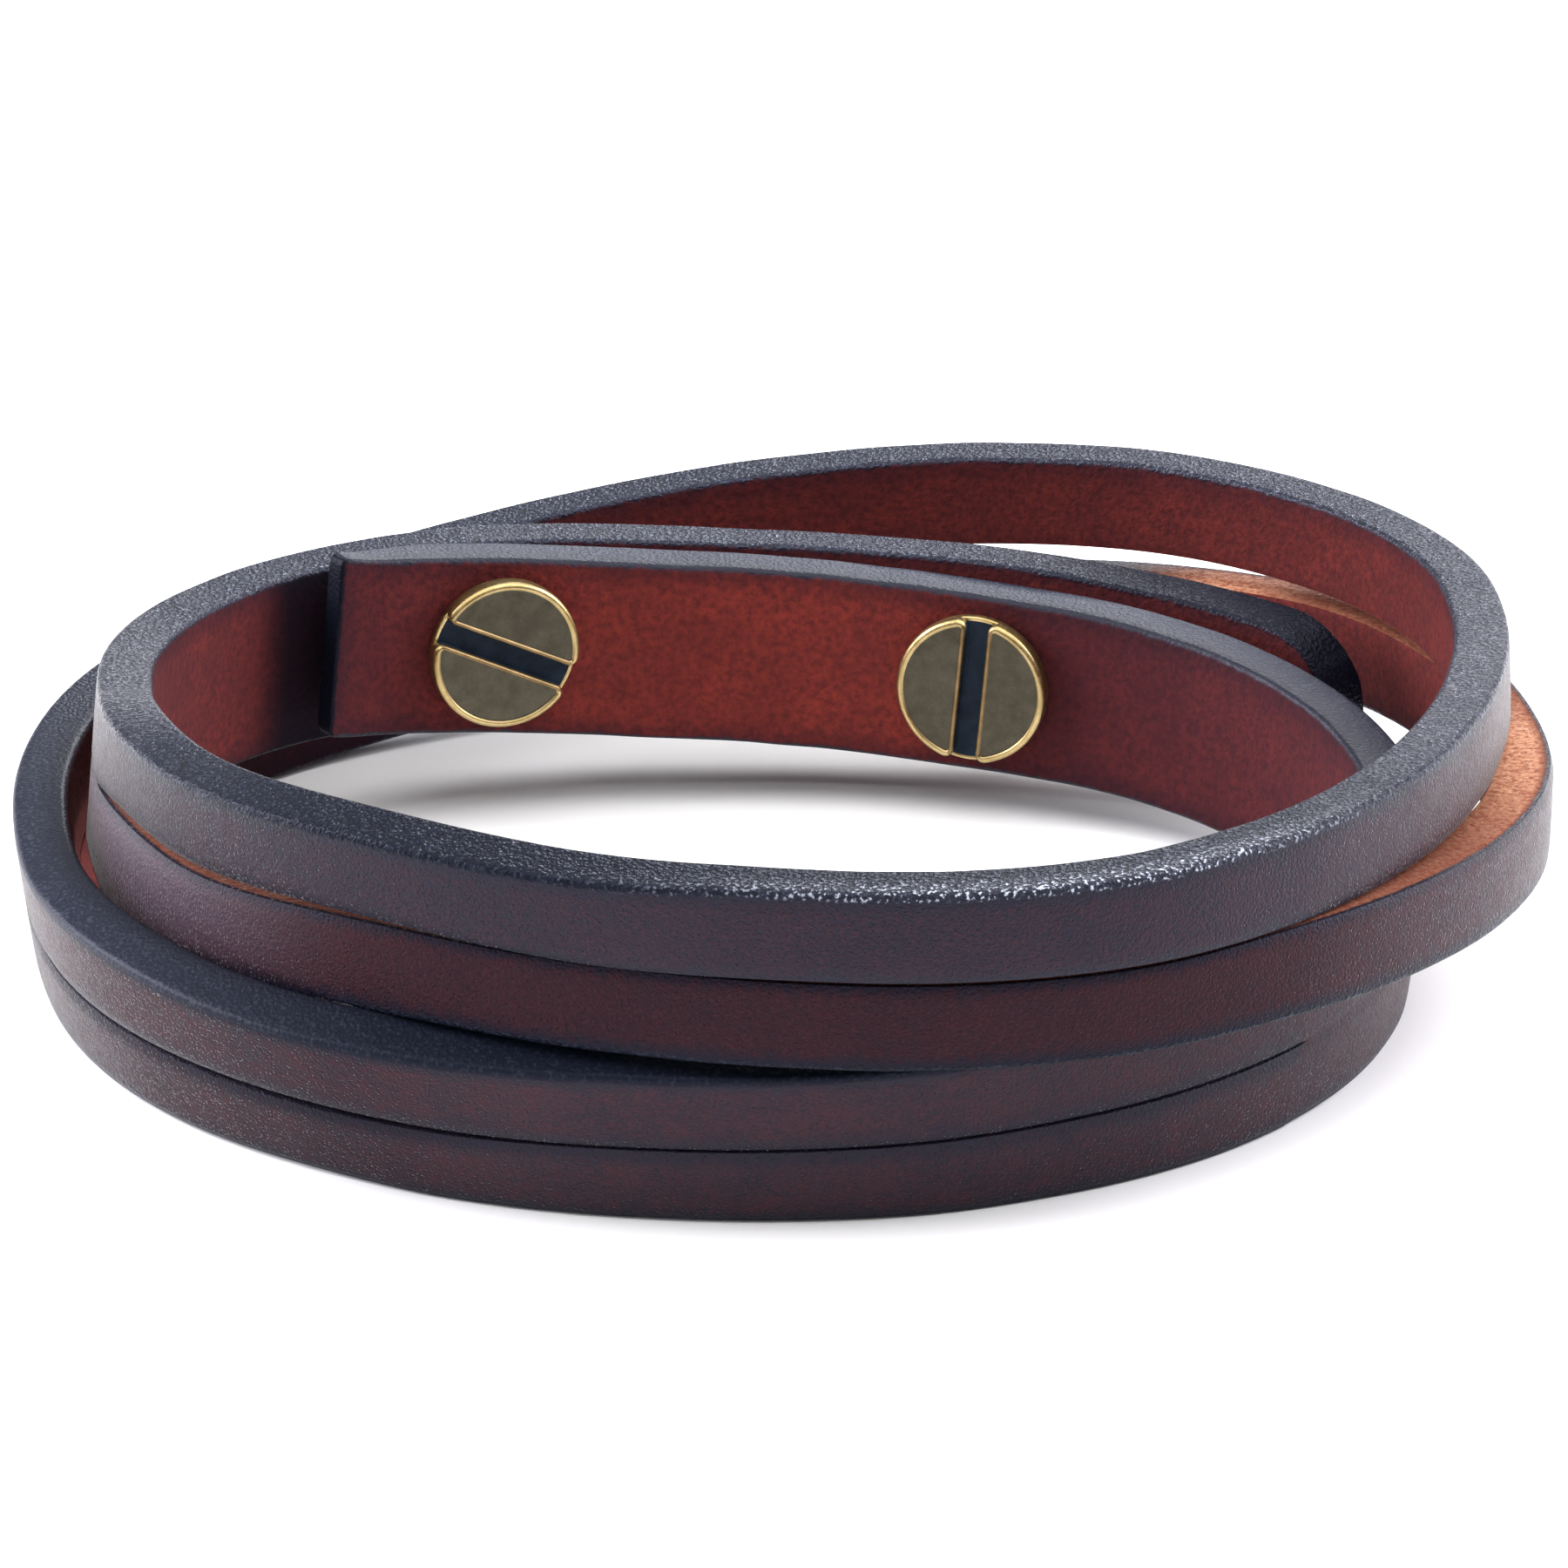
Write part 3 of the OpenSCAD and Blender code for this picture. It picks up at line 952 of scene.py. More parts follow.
@dataclass
class Strap:
    """The leather strap: its sections, its mesh and its holes, in millimetres and degrees."""

    winding: Winding
    section_angle: float = 1.2
    face_steps: int = 9
    round_steps: int = 6
    edge_steps: int = 4
    cut_steps: int = 2
    end_steps: int = 12
    turn_digits: int = 6
    worn_r: float = 0.32
    cut_r: float = 0.1
    cut_grows: float = 6.0
    end_r: float = 0.3
    crown: float = 0.12
    crown_start: float = 1.0
    flat_run: float = 15.0
    fuller: tuple[tuple[Side, float, float, float], ...] = (
        (Side.UPPER, 219.0, 18.0, 0.05),
        (Side.LOWER, 579.0, 18.0, 0.06),
        (Side.UPPER, 247.0, 18.0, 0.20),
        (Side.LOWER, 617.0, 20.0, 0.85),
    )
    uneven: float = 0.035
    uneven_run: int = 9
    skive: float = 0.55
    skive_l: float = 6.0
    slant: float = 0.15
    seed: int = 7
    weld_gap: float = 0.002
    sharp_over: float = 40.0
    set_down: np.ndarray = field(default_factory=lambda: np.zeros(3))

    def end_turns(self, end: float, corner_r: float) -> list[float]:
        """Find turn angles that follow the rounded corners at one end.

        Args:
            end: The end's turn angle.
            corner_r: Its corner radius.

        Returns:
            Turn angles from the end inward.
        """
        per_mm = 1 / float(self.winding.degree_l(np.array([end]))[0])
        quarter = np.radians(np.linspace(0, 90, self.end_steps))
        reach = sorted({*(corner_r * (1 - np.cos(quarter))), *(self.end_r * (1 - np.cos(quarter)))})
        return [end + d * per_mm * (1 if end < 0 else -1) for d in reach]

    def turns(self) -> np.ndarray:
        """Choose the sections.

        Returns:
            The turn angles of all sections, in order along the strap.
        """
        w = self.winding
        first = self.end_turns(w.inner_end, w.inner_corner_r)
        last = self.end_turns(w.outer_end, w.outer_corner_r)
        marks = (max(first), w.slit_start, w.slit_end, min(last))
        all_turns = [*first, *last]
        for start, stop in zip(marks, marks[1:]):
            count = math.ceil((stop - start) / self.section_angle)
            all_turns.extend(np.linspace(start, stop, count + 1))
        return np.unique(np.round(np.array(all_turns), self.turn_digits))

    def outline(self) -> Outline:
        """Describe half a section from the slit around the long edge and back.

        Returns:
            For each point its part, its place across the thickness and the width in halves of each, and
            the direction of the rounding there.
        """
        quarter = np.linspace(0, 90, self.round_steps + 1)
        small = np.linspace(0, 90, self.cut_steps + 1)
        face = np.linspace(-1, 1, self.face_steps + 2)[1:-1]
        thick = np.linspace(1, -1, self.edge_steps + 2)[1:-1]
        rows = [(Part.CUT_CORNER.value, 1, -1, q - 90) for q in small]
        rows += [(Part.FACE.value, 1, y, 0) for y in face]
        rows += [(Part.EDGE_CORNER.value, 1, 1, q) for q in quarter]
        rows += [(Part.EDGE.value, x, 1, 90) for x in thick]
        rows += [(Part.EDGE_CORNER.value, -1, 1, q + 90) for q in quarter]
        rows += [(Part.FACE.value, -1, y, 180) for y in face[::-1]]
        rows += [(Part.CUT_CORNER.value, -1, -1, q + 180) for q in small]
        return Outline(*np.array(rows, float).T)

    def rounded(self, r: float, from_end: np.ndarray) -> np.ndarray:
        """Return what a rounded corner takes off at distances from the end."""
        short = np.clip(r - from_end, 0, r)
        return r - np.sqrt(r**2 - short**2)

    def wander(self, count: int, rng: np.random.Generator) -> np.ndarray:
        """Draw a smooth random line.

        Args:
            count: How many values.
            rng: The seeded source of the draws.

        Returns:
            Values between -1 and 1.
        """
        rough = rng.normal(0, 1, count)
        kernel = np.hanning(self.uneven_run)
        smooth = np.convolve(rough, kernel / np.sqrt((kernel**2).sum()), mode="same")
        return np.clip(smooth / 2, -1, 1)

    def pressed(self, turns: np.ndarray, side: Side) -> np.ndarray:
        """Find how much fuller a long edge is where one round lies on the next.

        Args:
            turns: Turn angles of the sections.
            side: The upper or the lower strip.

        Returns:
            The added width at each section.
        """
        extra = np.zeros(len(turns))
        for on_side, middle, span, width in self.fuller:
            if on_side is side:
                share = np.clip(np.abs(turns - middle) / span, 0, 1)
                extra += width * np.cos(share * math.pi / 2) ** 2
        return extra

    def from_ends(self, turns: np.ndarray) -> tuple[np.ndarray, np.ndarray]:
        """Measure how far sections are from the strap's two ends.

        Args:
            turns: Turn angles of the sections.

        Returns:
            The distances from the inner end and from the outer end.
        """
        w = self.winding
        inner, outer = (float(w.degree_l(np.array([end]))[0]) for end in (w.inner_end, w.outer_end))
        return (turns - w.inner_end) * inner, (w.outer_end - turns) * outer

    def lay_flat(self, shape: Outline, turns: np.ndarray, side: Side, wobble: np.ndarray) -> FlatHalf:
        """Lay out the points of one strip's sections flat.

        Args:
            shape: The outline of half a section.
            turns: Turn angles of the sections.
            side: The upper or the lower strip.
            wobble: A small change of the edge for each section.

        Returns:
            The flat sections, with the strip's middle at zero.
        """
        w = self.winding
        from_inner, from_outer = self.from_ends(turns)
        corner = self.rounded(w.inner_corner_r, from_inner) + self.rounded(w.outer_corner_r, from_outer)
        bevel = self.rounded(self.end_r, np.minimum(from_inner, from_outer))
        half_t = (w.strap_t / 2 - bevel)[:, None]
        half_w = w.strap_w / 4
        edge = (half_w - np.maximum(corner, bevel) + wobble + self.pressed(turns, side))[:, None]
        in_slit = np.minimum(turns - w.slit_start, w.slit_end - turns)
        cut_r = self.cut_r * np.clip(in_slit / self.cut_grows, 0, 1)[:, None]
        edge_r = (self.worn_r + wobble)[:, None]
        radius = np.where(shape.on(Part.CUT_CORNER), cut_r, np.where(shape.on(Part.EDGE_CORNER), edge_r, 0.0))
        cos_q = np.cos(np.radians(shape.angle))
        sin_q = np.sin(np.radians(shape.angle))
        low = -half_w + cut_r
        high = edge - edge_r
        y_face = (low + high) / 2 + shape.y_share * (high - low) / 2
        x_round = shape.x_share * (half_t - radius) + radius * cos_q
        x = np.where(shape.on(Part.FACE), shape.x_share * half_t, x_round)
        x = np.where(shape.on(Part.EDGE), shape.x_share * (half_t - edge_r), x)
        y_round = np.where(shape.y_share > 0, edge - radius, -half_w + radius) + radius * sin_q
        y = np.where(shape.on(Part.FACE), y_face, np.where(shape.on(Part.EDGE), edge, y_round))
        return FlatHalf(x, y, half_t, edge)

    def half(self, turns: np.ndarray, side: Side, wobble: np.ndarray) -> tuple[np.ndarray, dict]:
        """Place all points of one strip.

        Args:
            turns: Turn angles of the sections.
            side: The upper or the lower strip.
            wobble: A small change of the edge for each section, in millimetres.

        Returns:
            Points as sections by outline points, and the values that each point carries.
        """
        w = self.winding
        shape = self.outline()
        flat = self.lay_flat(shape, turns, side, wobble)
        from_inner, from_outer = self.from_ends(turns)
        along = np.minimum(from_inner, from_outer)
        from_cut = flat.y + w.strap_w / 4
        across = np.clip(from_cut / (w.strap_w / 2), 0, 1)
        crowned = np.clip((w.slit_end + self.flat_run - turns) / self.flat_run, 0, 1)
        crowned = (crowned * (along > self.crown_start))[:, None]
        bulge = self.crown * (1 - across**2) * shape.on(Part.FACE) * (shape.x_share > 0) * crowned
        near_end = np.clip(1 - from_inner / self.skive_l, 0, 1)[:, None]
        thinned = (flat.x + bulge + w.strap_t / 2) * (1 - self.skive * near_end) - w.strap_t / 2
        slid = -self.slant * near_end * side.value * from_cut
        place, out, up = w.half_frame(turns, side)
        points = (
            place[:, None, :]
            + out[:, None, :] * thinned[..., None]
            + up[:, None, :] * (side.value * flat.y)[..., None]
            + np.cross(out, up)[:, None, :] * slid[..., None]
        )
        is_open = ~w.joined(turns)[:, None]
        on_cut = np.abs(np.sin(np.radians(shape.angle)))
        values = {
            "depth": (1 - flat.x / flat.half_t) / 2,
            "rim": np.minimum(flat.edge - flat.y, along[:, None] + 0 * flat.y),
            "cut": np.where(shape.on(Part.CUT_CORNER) & is_open, on_cut, 0.0),
            "seam": from_cut + np.where(is_open, 0.0, w.strap_w / 4),
            "run": turns[:, None] + 0 * flat.y,
            "upper": np.full(flat.y.shape, float(side is Side.UPPER)),
        }
        return points, values

    def faces(self, turns: np.ndarray, count: int) -> list[tuple[int, ...]]:
        """Join the points of neighbouring sections, and close both ends.

        Args:
            turns: Turn angles of the sections.
            count: How many outline points each strip has.

        Returns:
            The mesh's faces as numbers of points.
        """
        open_here = ~self.winding.joined(turns)
        sections = len(turns)
        faces = []
        for strip, flip in ((0, False), (1, True)):
            for i in range(sections - 1):
                a0 = (i * 2 + strip) * count
                b0 = ((i + 1) * 2 + strip) * count
                last = count if open_here[i] or open_here[i + 1] else count - 1
                for k in range(last):
                    n = (k + 1) % count
                    quad = (a0 + k, a0 + n, b0 + n, b0 + k)
                    faces.append(quad[::-1] if flip else quad)
        start = [*range(count), *range(2 * count - 1, count - 1, -1)]
        offset = (sections - 1) * 2 * count
        faces.append(tuple(start[::-1]))
        faces.append(tuple(offset + k for k in start))
        return faces

    def build(self) -> bpy.types.Object:
        """Build the strap and set it down on its lower edge.

        Returns:
            The strap without its holes, in metres.
        """
        turns = self.turns()
        rng = np.random.default_rng(self.seed)
        halves = []
        for side in Side:
            wobble = self.uneven * self.wander(len(turns), rng)
            halves.append(self.half(turns, side, wobble))
        points = np.stack([halves[0][0], halves[1][0]], axis=1)
        count = points.shape[2]
        flat = points.reshape(-1, 3)
        low = flat.min(axis=0)
        high = flat.max(axis=0)
        self.set_down = np.array([-(low[0] + high[0]) / 2, -(low[1] + high[1]) / 2, -low[2]])
        mesh = bpy.data.meshes.new("strap_leather")
        mesh.from_pydata(((flat + self.set_down) * MM).tolist(), [], self.faces(turns, count))
        for name in halves[0][1]:
            both = np.stack([halves[0][1][name], halves[1][1][name]], axis=1).reshape(-1)
            mesh.attributes.new(name, "FLOAT", "POINT").data.foreach_set("value", both.astype(np.float32))
        face_outward(mesh, self.weld_gap * MM)
        shade(mesh, self.sharp_over)
        return new_object("strap_leather", mesh)

    def drill(self, piece: bpy.types.Object, cutters: Sequence[bpy.types.Object]) -> None:
        """Cut the screws' holes through both layers."""
        combine(piece, cutters, Combine.CUT)
        shade(piece.data, self.sharp_over)


def face_outward(mesh: bpy.types.Mesh, weld_gap: float = 0.0) -> None:
    """Face all sides of a closed mesh outward, and merge points that lie together if a gap is given.

    Args:
        mesh: The mesh to change.
        weld_gap: How near the merged points lie, in the mesh's own unit.
    """
    work = bmesh.new()
    work.from_mesh(mesh)
    if weld_gap:
        bmesh.ops.remove_doubles(work, verts=work.verts, dist=weld_gap)
        bmesh.ops.dissolve_degenerate(work, edges=work.edges, dist=weld_gap / 10)
    bmesh.ops.recalc_face_normals(work, faces=work.faces)
    work.to_mesh(mesh)
    work.free()


def lathe(name: str, profile: Sequence[tuple[float, float]], sides: int) -> bpy.types.Mesh:
    """Turn a closed profile about the Z axis.

    Args:
        name: The mesh's name.
        profile: Radius and height of each corner, in millimetres, around the profile.
        sides: Steps around the axis.

    Returns:
        The mesh, in millimetres.
    """
    points = []
    for i in range(sides):
        q = math.tau * i / sides
        points.extend((r * math.cos(q), r * math.sin(q), z) for r, z in profile)
    n = len(profile)
    faces = []
    for i in range(sides):
        j = (i + 1) % sides
        faces.extend((i * n + k, i * n + (k + 1) % n, j * n + (k + 1) % n, j * n + k) for k in range(n))
    mesh = bpy.data.meshes.new(name)
    mesh.from_pydata(points, [], faces)
    face_outward(mesh, LATHE_WELD)
    return mesh


class Brass(Enum):
    """The finishes on a screw, in the order of its material slots."""

    RIM = 0
    FACE = 1
    SLOT = 2
    LIP = 3


def paint(mesh: bpy.types.Mesh, finishes: dict[Brass, bpy.types.Material], kinds: Iterable[Brass]) -> None:
    """Give each face of a mesh its finish.

    Args:
        mesh: The mesh.
        finishes: The brass materials, in the order of the slots.
        kinds: The finish of each face, in order.
    """
    for brass in finishes.values():
        mesh.materials.append(brass)
    for polygon, kind in zip(mesh.polygons, kinds):
        polygon.material_index = kind.value


@dataclass
class ScrewPost:
    """One slotted screw and the capped post that it goes into, in millimetres on the screw's axis."""

    name: str
    winding: Winding
    finishes: dict[Brass, bpy.types.Material]
    turn: float
    slope: float
    head_d: float = 7.6
    head_h: float = 1.1
    rim_w: float = 0.35
    rim_h: float = 0.08
    slot_w: float = 1.2
    slot_h: float = 0.6
    slot_corner_r: float = 0.45
    corner_shrink: float = 0.85
    slot_lining: float = 0.05
    lip_share: float = 0.7
    lip_w: float = 0.2
    bead_r: float = 0.24
    fall_room: float = 0.05
    recess_inset: float = 0.09
    wall_h: float = 0.2
    overlap: float = 0.05
    disc_inset: float = 0.03
    sunk_ring: tuple[float, float] = (0.06, 0.03)
    floor_round: tuple[tuple[float, float], ...] = ((0.05, -0.02), (0.0, 0.05))
    under_round: tuple[tuple[float, float], ...] = ((0.0, -0.12), (0.03, -0.05), (0.12, 0.0))
    shank_d: float = 2.5
    shank_fillet: float = 0.2
    shank_chamfer: float = 0.3
    barrel_d: float = 4.0
    cap_d: float = 7.6
    cap_h: float = 1.1
    cap_edge_r: float = 0.3
    cap_chamfer: float = 0.15
    bore_room: float = 0.12
    seat_room: float = 0.08
    end_share: float = 0.1
    lap_angle: float = 720.0
    sides: int = 96
    cutter_sides: int = 64
    corner_steps: int = 9
    slot_steps: int = 15
    bead_steps: int = 7
    fall_steps: int = 4
    cap_steps: int = 6
    sharp_over: float = 35.0
    tiny: float = 0.01

    def heights(self, on_turn: float, face: int, d: float) -> list[float]:
        """Measure the leather under a head or cap.

        Args:
            on_turn: The turn angle of the layer that it lies on.
            face: 1 for the outer face and -1 for the inner one.
            d: The head's or cap's diameter.

        Returns:
            Heights along the screw's axis.
        """
        middle = self.winding.middle(np.array([self.turn]))[0]
        axis = self.winding.screw_axis(self.turn)
        return [
            float(np.dot(self.winding.face_point(on_turn, face, q, d * share / 2) - middle, axis))
            for q in range(0, 360, 45)
            for share in (0, 0.5, 1)
        ]

    def head_seat(self) -> float:
        """Return where the head's underside is on the axis."""
        return min(self.heights(self.turn, -1, self.head_d)) - self.seat_room

    def cap_seat(self) -> float:
        """Return where the cap's underside is on the axis."""
        return max(self.heights(self.turn + self.lap_angle, 1, self.cap_d)) + self.seat_room

    def placing(self, set_down: np.ndarray) -> Matrix:
        """Find the screw's place.

        Args:
            set_down: The shift of the winding's own millimetres into the frame.

        Returns:
            The change from millimetres on the axis to metres in the frame.
        """
        axis = self.winding.screw_axis(self.turn)
        middle = self.winding.middle(np.array([self.turn]))[0] + set_down
        tip = Matrix.Rotation(math.acos(axis[2]), 4, "Y")
        swing = Matrix.Rotation(math.atan2(axis[1], axis[0]), 4, "Z")
        return Matrix.Translation(Vector(middle * MM)) @ swing @ tip @ Matrix.Scale(MM, 4)

    def half_outline(self, inset: float) -> list[tuple[float, float, bool]]:
        """Return the outline of half the head's face, inside its edge by an inset.

        Args:
            inset: Distance inside the round edge, and a share of it inside the slot's edge.

        Returns:
            Points with a mark on those along the slot.
        """
        r = self.head_d / 2 - inset
        cr = self.slot_corner_r - self.corner_shrink * inset
        low = self.slot_w / 2 - self.slot_lining + self.lip_share * inset
        cy = low + cr
        cx = math.sqrt((r - cr) ** 2 - cy**2)
        phi = math.atan2(cy, cx)
        arc = np.linspace(phi, math.pi - phi, self.sides // 2)
        points = [(r * math.cos(q), r * math.sin(q), False) for q in arc]
        for q in np.linspace(math.pi - phi, 1.5 * math.pi, self.corner_steps)[1:]:
            points.append((-cx + cr * math.cos(q), cy + cr * math.sin(q), True))
        for x in np.linspace(-cx, cx, self.slot_steps)[1:-1]:
            points.append((x, low, True))
        for q in np.linspace(-0.5 * math.pi, phi, self.corner_steps)[:-1]:
            points.append((cx + cr * math.cos(q), cy + cr * math.sin(q), True))
        return points

    def rim_steps(self) -> list[tuple[float, float]]:
        """Follow the head's edge from the slot's floor over the bead down to the recessed face.

        Returns:
            Inset and height of each ring of points.
        """
        h = self.head_h
        floor = h - self.slot_h
        bead = self.bead_r
        quarter = np.radians(np.linspace(0, 90, self.bead_steps))
        over = [(bead * (1 - math.cos(q)), h - bead * (1 - math.sin(q))) for q in quarter]
        fall_w = self.rim_w + self.fall_room - bead
        shares = [(i + 1) / self.fall_steps for i in range(self.fall_steps)]
        fall = [(bead + fall_w * t, h - self.rim_h * (1 - math.cos(math.pi * t)) / 2) for t in shares]
        start = [(0.0, floor - self.overlap), (0.0, floor + self.wall_h)]
        return [*start, *over, *fall, (self.rim_w + self.recess_inset, h - self.rim_h)]

    def half_head(self, turned: bool) -> bpy.types.Object:
        """Build one half of the head beside the slot, with its raised rim.

        Args:
            turned: Whether it is the half on the slot's other side.

        Returns:
            The half head, a closed solid.
        """
        steps = self.rim_steps()
        sign = -1 if turned else 1
        points = []
        rings = [self.half_outline(inset) for inset, _ in steps]
        for (_, z), ring in zip(steps, rings):
            points.extend((sign * x, sign * y, -z) for x, y, _ in ring)
        first_bead_ring = 2
        first_recess_ring = len(steps) - 3
        n = len(rings[0])
        faces = []
        kinds = []
        for i in range(len(steps) - 1):
            for k in range(n):
                m = (k + 1) % n
                faces.append((i * n + k, i * n + m, (i + 1) * n + m, (i + 1) * n + k))
                x, y, by_slot = rings[0][k]
                in_slot = by_slot and math.hypot(x, y) < self.head_d / 2 - self.lip_w
                recess = i >= first_recess_ring
                side = Brass.SLOT if i < first_bead_ring else Brass.LIP
                kinds.append(Brass.FACE if recess else side if in_slot else Brass.RIM)
        faces.append(tuple(range(n))[::-1])
        kinds.append(Brass.SLOT)
        faces.append(tuple(range(len(points) - n, len(points))))
        kinds.append(Brass.FACE)
        mesh = bpy.data.meshes.new("half_head")
        mesh.from_pydata(points, [], faces)
        return self.finished(mesh, kinds)

    def finished(self, mesh: bpy.types.Mesh, kinds: Iterable[Brass]) -> bpy.types.Object:
        """Dress a mesh and face all its sides outward.

        Args:
            mesh: A closed mesh.
            kinds: The finish of each face, in order.

        Returns:
            An object of the mesh.
        """
        paint(mesh, self.finishes, kinds)
        face_outward(mesh)
        return new_object("part_of_" + self.name, mesh)

    def disc_profile(self) -> list[tuple[float, float]]:
        """Draw the profile of the disc under the half faces and of the shank.

        Returns:
            Radius and height of each corner.
        """
        r = self.head_d / 2 - self.disc_inset
        floor = self.head_h - self.slot_h
        shank_r = self.shank_d / 2
        shank_l = self.cap_seat() - self.head_seat() - self.end_share * self.winding.layer
        lip = r - self.lip_w
        wide, deep = self.sunk_ring
        slot_floor = [(0, -floor), (lip, -floor), (lip + wide, -floor - deep)]
        side = [(r - inset, z - floor) for inset, z in self.floor_round]
        side += [(r - inset, z) for inset, z in self.under_round]
        fillet = [(shank_r + self.shank_fillet, 0), (shank_r, self.shank_fillet)]
        chamfer = self.shank_chamfer
        shank_end = [(shank_r, shank_l - chamfer), (shank_r - chamfer, shank_l), (0, shank_l)]
        return [*slot_floor, *side, *fillet, *shank_end]

    def screw(self, placing: Matrix) -> bpy.types.Object:
        """Build the screw: two half faces beside the slot, the disc under them and the shank.

        Args:
            placing: The change from the axis to the frame.

        Returns:
            The screw.
        """
        mesh = lathe("disc", self.disc_profile(), self.sides)
        slot_r = self.head_d / 2 - self.disc_inset - self.lip_w + self.tiny
        floor_z = self.slot_h - self.head_h + self.tiny
        kinds = []
        for polygon in mesh.polygons:
            inside = all(math.hypot(*mesh.vertices[v].co.xy) < slot_r for v in polygon.vertices)
            kinds.append(Brass.SLOT if inside and polygon.center.z < floor_z else Brass.RIM)
        disc = self.finished(mesh, kinds)
        combine(disc, [self.half_head(False), self.half_head(True)], Combine.JOIN)
        turn = Matrix.Rotation(math.radians(90 + self.slope), 4, "Z")
        disc.data.transform(placing @ Matrix.Translation((0, 0, self.head_seat())) @ turn)
        disc.name = self.name + "_brass"
        shade(disc.data, self.sharp_over)
        return disc

    def post(self, placing: Matrix) -> bpy.types.Object:
        """Build the post: a barrel with its bore, and the plain cap outside the leather.

        Args:
            placing: The change from the axis to the frame.

        Returns:
            The post.
        """
        start = self.head_seat() + self.end_share * self.winding.layer
        seat = self.cap_seat()
        top = seat + self.cap_h
        r = self.cap_d / 2
        b = self.barrel_d / 2
        bore = self.shank_d / 2 + self.bore_room
        er = self.cap_edge_r
        quarter = np.radians(np.linspace(0, 90, self.cap_steps))
        edge = [(r - er + er * math.cos(q), top - er + er * math.sin(q)) for q in quarter]
        underside = [(r, seat + self.cap_chamfer), (r - self.cap_chamfer, seat), (b, seat), (b, start)]
        profile = [(bore, start), (bore, seat), (0, seat), (0, top), *edge[::-1], *underside]
        mesh = lathe(self.name + "_post", profile, self.sides)
        flat = [polygon.center.z > top - self.tiny for polygon in mesh.polygons]
        paint(mesh, self.finishes, [Brass.FACE if on_top else Brass.RIM for on_top in flat])
        mesh.transform(placing)
        shade(mesh, self.sharp_over)
        return new_object(self.name.replace("screw", "post") + "_brass", mesh)

    def cutter(self, placing: Matrix) -> bpy.types.Object:
        """Build the solid of the hole through both layers.

        Args:
            placing: The change from the axis to the frame.

        Returns:
            The cutter.
        """
        r = self.barrel_d / 2 + self.bore_room
        low = -self.winding.layer
        high = self.cap_seat() + self.cap_h
        mesh = lathe("cutter", [(0, low), (r, low), (r, high), (0, high)], self.cutter_sides)
        mesh.transform(placing)
        return new_object("cutter_" + self.name, mesh)


@dataclass(frozen=True)
class Softbox:
    """A lamp with a soft, flat face."""

    name: str
    place: tuple[float, float, float]
    size: tuple[float, float]
    power: float
    tone: Tone = (1.0, 1.0, 1.0)

    def hang(self, target: Vector) -> None:
        """Hang the lamp and turn it to the target.

        Args:
            target: The middle of the bracelet, in metres.
        """
        lamp = bpy.data.lights.new(self.name, "AREA")
        lamp.shape = "RECTANGLE"
        lamp.size, lamp.size_y = self.size
        lamp.energy = self.power
        lamp.color = self.tone
        holder = bpy.data.objects.new(self.name, lamp)
        bpy.context.scene.collection.objects.link(holder)
        holder.location = self.place
        holder.rotation_euler = (target - Vector(self.place)).to_track_quat("-Z", "Y").to_euler()


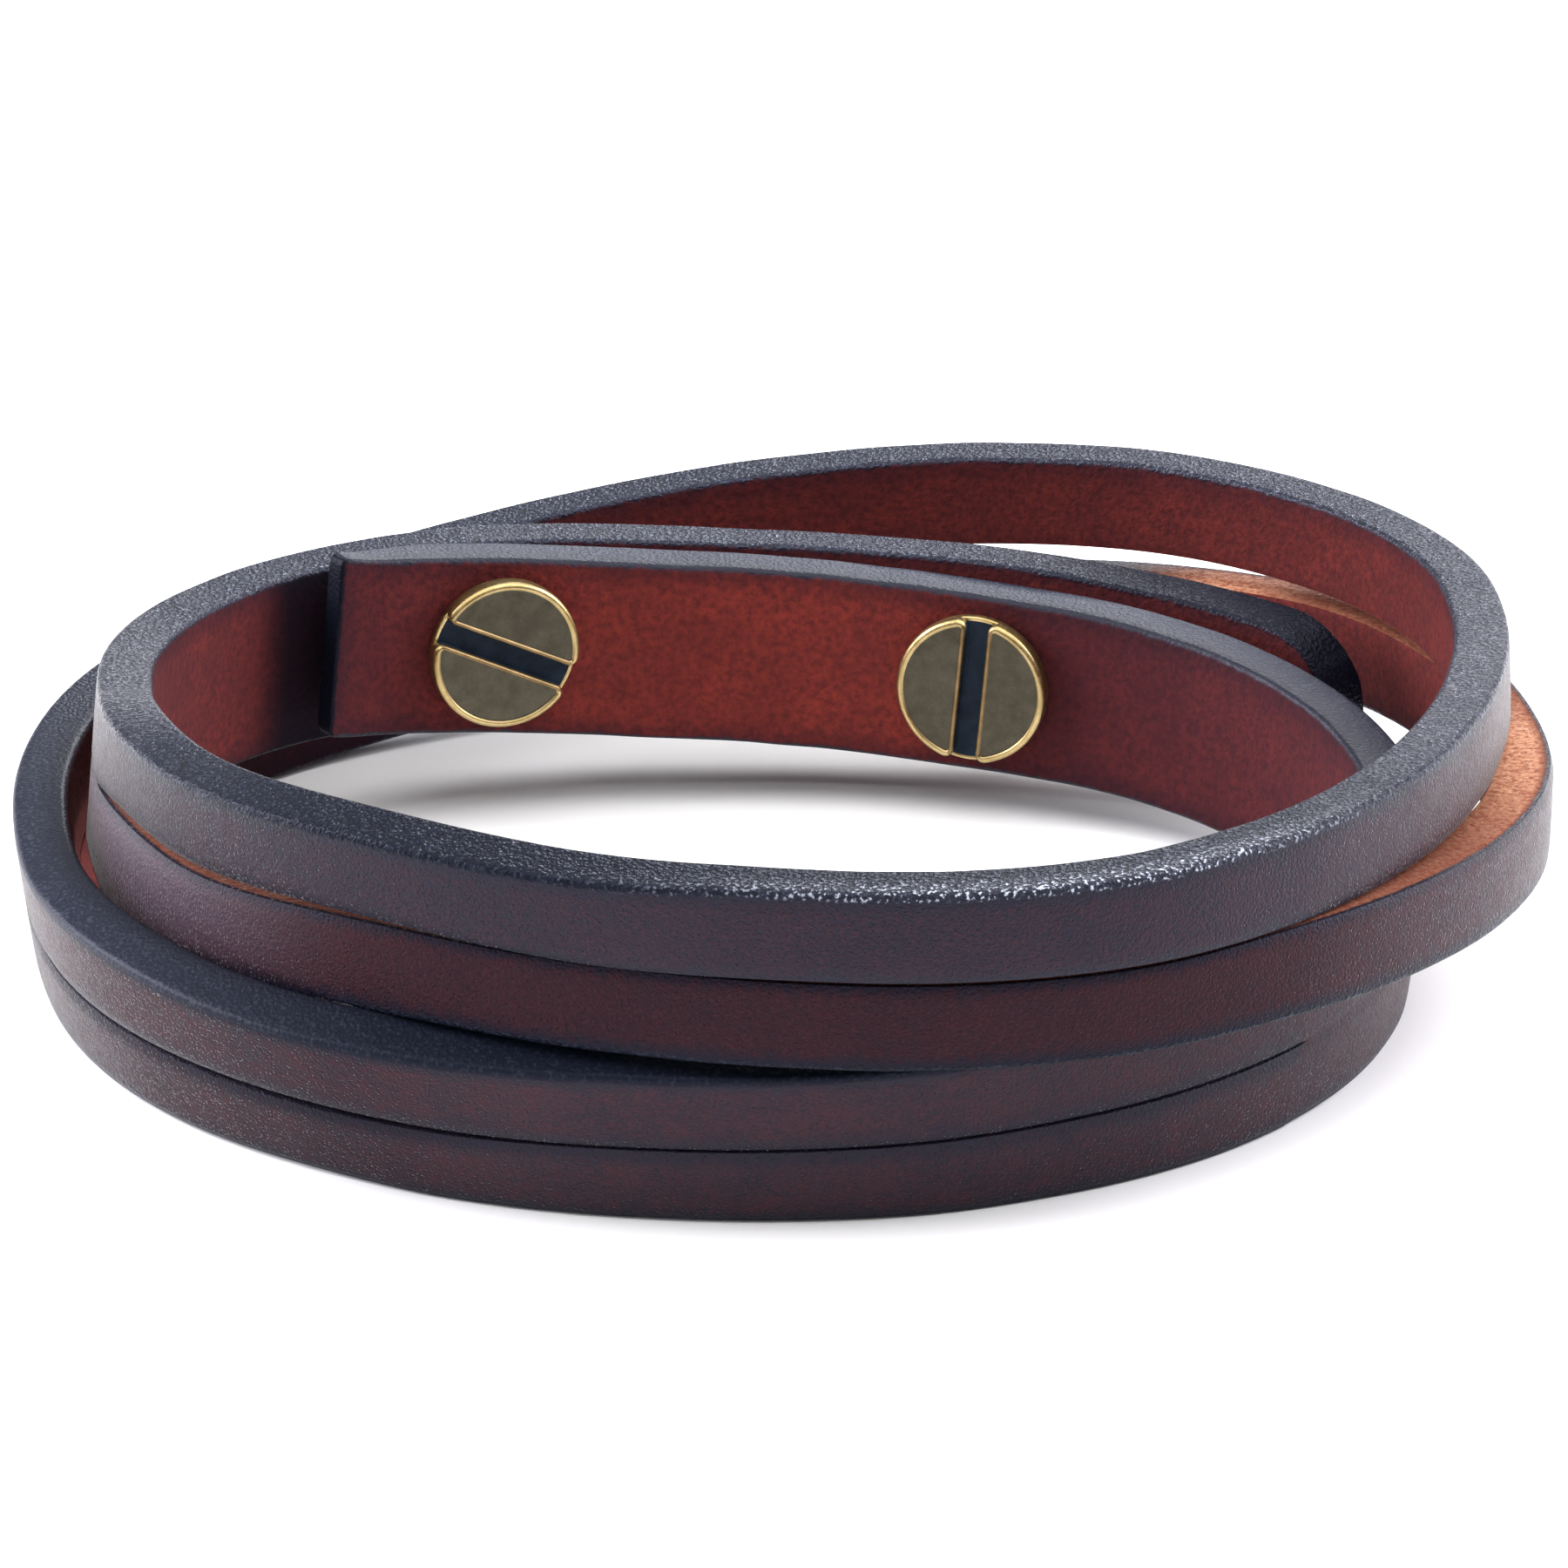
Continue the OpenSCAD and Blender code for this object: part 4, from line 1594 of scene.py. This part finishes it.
@dataclass(frozen=True)
class Studio:
    """A pale floor, soft light and the camera at the photo's angle."""

    elevation: float = 22.0
    distance: float = 0.700
    lens: float = 333.0
    sensor_w: float = 36.0
    nearest: float = 0.01
    aim: tuple[float, float, float] = (0.5, 1.0, 10.5)
    floor_side: float = 4.0
    floor_tone: Tone = (0.9, 0.9, 0.9)
    floor_rough: float = 0.9
    sky_tone: Tone = (1.0, 1.0, 1.0)
    sky: float = 0.30
    lamps: tuple[Softbox, ...] = (
        Softbox("overhead", (0.05, -0.08, 0.62), (1.10, 1.00), 10.0),
        Softbox("left", (-0.58, 0.08, 0.30), (0.60, 0.40), 10.0, (0.96, 0.94, 1.0)),
        Softbox("right", (0.58, 0.14, 0.28), (0.55, 0.40), 7.5, (0.96, 0.94, 1.0)),
        Softbox("back", (0.16, 0.90, 0.36), (0.30, 0.20), 2.5, (0.93, 0.94, 1.0)),
    )

    def set_up(self, set_down: np.ndarray, floor_z: float) -> None:
        """Build the studio around the bracelet.

        Args:
            set_down: The shift of the winding's own millimetres into the frame.
            floor_z: The level that the bracelet lies on.
        """
        aim = Vector((np.array(self.aim) + set_down) * MM)
        self.lay_floor(floor_z)
        for lamp in self.lamps:
            lamp.hang(aim)
        self.place_camera(aim)
        scene = bpy.context.scene
        world = bpy.data.worlds.new("studio")
        scene.world = world
        world.use_nodes = True
        background = world.node_tree.nodes["Background"]
        background.inputs["Color"].default_value = (*self.sky_tone, 1.0)
        background.inputs["Strength"].default_value = self.sky
        scene.view_settings.view_transform = "Standard"
        scene.view_settings.look = "None"

    def lay_floor(self, z: float) -> None:
        """Lay the pale floor.

        Args:
            z: Its level.
        """
        half = self.floor_side / 2
        mesh = bpy.data.meshes.new("floor")
        corners = [(-half, -half, z), (half, -half, z), (half, half, z), (-half, half, z)]
        mesh.from_pydata(corners, [], [(0, 1, 2, 3)])
        g = Graph("pale_floor")
        look = {"Base Color": (*self.floor_tone, 1.0), "Roughness": self.floor_rough}
        mesh.materials.append(g.finish(look))
        new_object("floor", mesh)

    def place_camera(self, aim: Vector) -> None:
        """Place the camera in front of the bracelet and make it the scene's.

        Args:
            aim: The point that it looks at, in metres.
        """
        camera = bpy.data.cameras.new("camera")
        camera.lens = self.lens
        camera.sensor_width = self.sensor_w
        camera.clip_start = self.nearest
        holder = bpy.data.objects.new("camera", camera)
        bpy.context.scene.collection.objects.link(holder)
        q = math.radians(self.elevation)
        holder.location = aim + Vector((0, -math.cos(q), math.sin(q))) * self.distance
        holder.rotation_euler = (aim - holder.location).to_track_quat("-Z", "Y").to_euler()
        bpy.context.scene.camera = holder


def hand_over(piece: bpy.types.Object, node: str) -> None:
    """Ride a piece on the frame in place of one of its solids.

    Args:
        piece: The finished piece.
        node: The solid that it stands for.
    """
    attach(piece, "root")
    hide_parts(node)
    LOG.info("%s replaces %s: %d faces", piece.name, node, len(piece.data.polygons))


def main() -> None:
    """Build the bracelet's pieces in order, then the studio."""
    logging.basicConfig(level=logging.INFO, format="%(name)s: %(message)s")
    looks = {
        Brass.RIM: AntiqueBrass("worn_brass", (0.34, 0.25, 0.105), (0.50, 0.38, 0.18), 0.30, 0.42),
        Brass.FACE: AntiqueBrass("antique_brass", (0.053, 0.048, 0.034), (0.080, 0.072, 0.052), 0.38, 0.46),
        # A dark, dull finish in the slot.
        Brass.SLOT: AntiqueBrass(
            "dark_slot", (0.005, 0.010, 0.019), (0.011, 0.021, 0.036), 0.6, 0.8, metallic=0.0, shine=0.15
        ),
        Brass.LIP: AntiqueBrass("lip_brass", (0.17, 0.115, 0.055), (0.26, 0.18, 0.085), 0.34, 0.48),
    }
    finishes = {part: look.material() for part, look in looks.items()}
    winding = Winding()
    strap = Strap(winding)
    leather = strap.build()
    leather.data.materials.append(WaxedLeather().material())
    screws = (
        ScrewPost("screw_left", winding, finishes, turn=-30.4, slope=26.0),
        ScrewPost("screw_right", winding, finishes, turn=23.3, slope=-85.0),
    )
    placings = [screw.placing(strap.set_down) for screw in screws]
    strap.drill(leather, [screw.cutter(placing) for screw, placing in zip(screws, placings)])
    hand_over(leather, "strap")
    for screw, placing in zip(screws, placings):
        hand_over(screw.screw(placing), screw.name)
        hand_over(screw.post(placing), screw.name.replace("screw", "post"))
    Studio().set_up(strap.set_down, CAD_BOX[0][2])


if __name__ == "__main__":
    main()
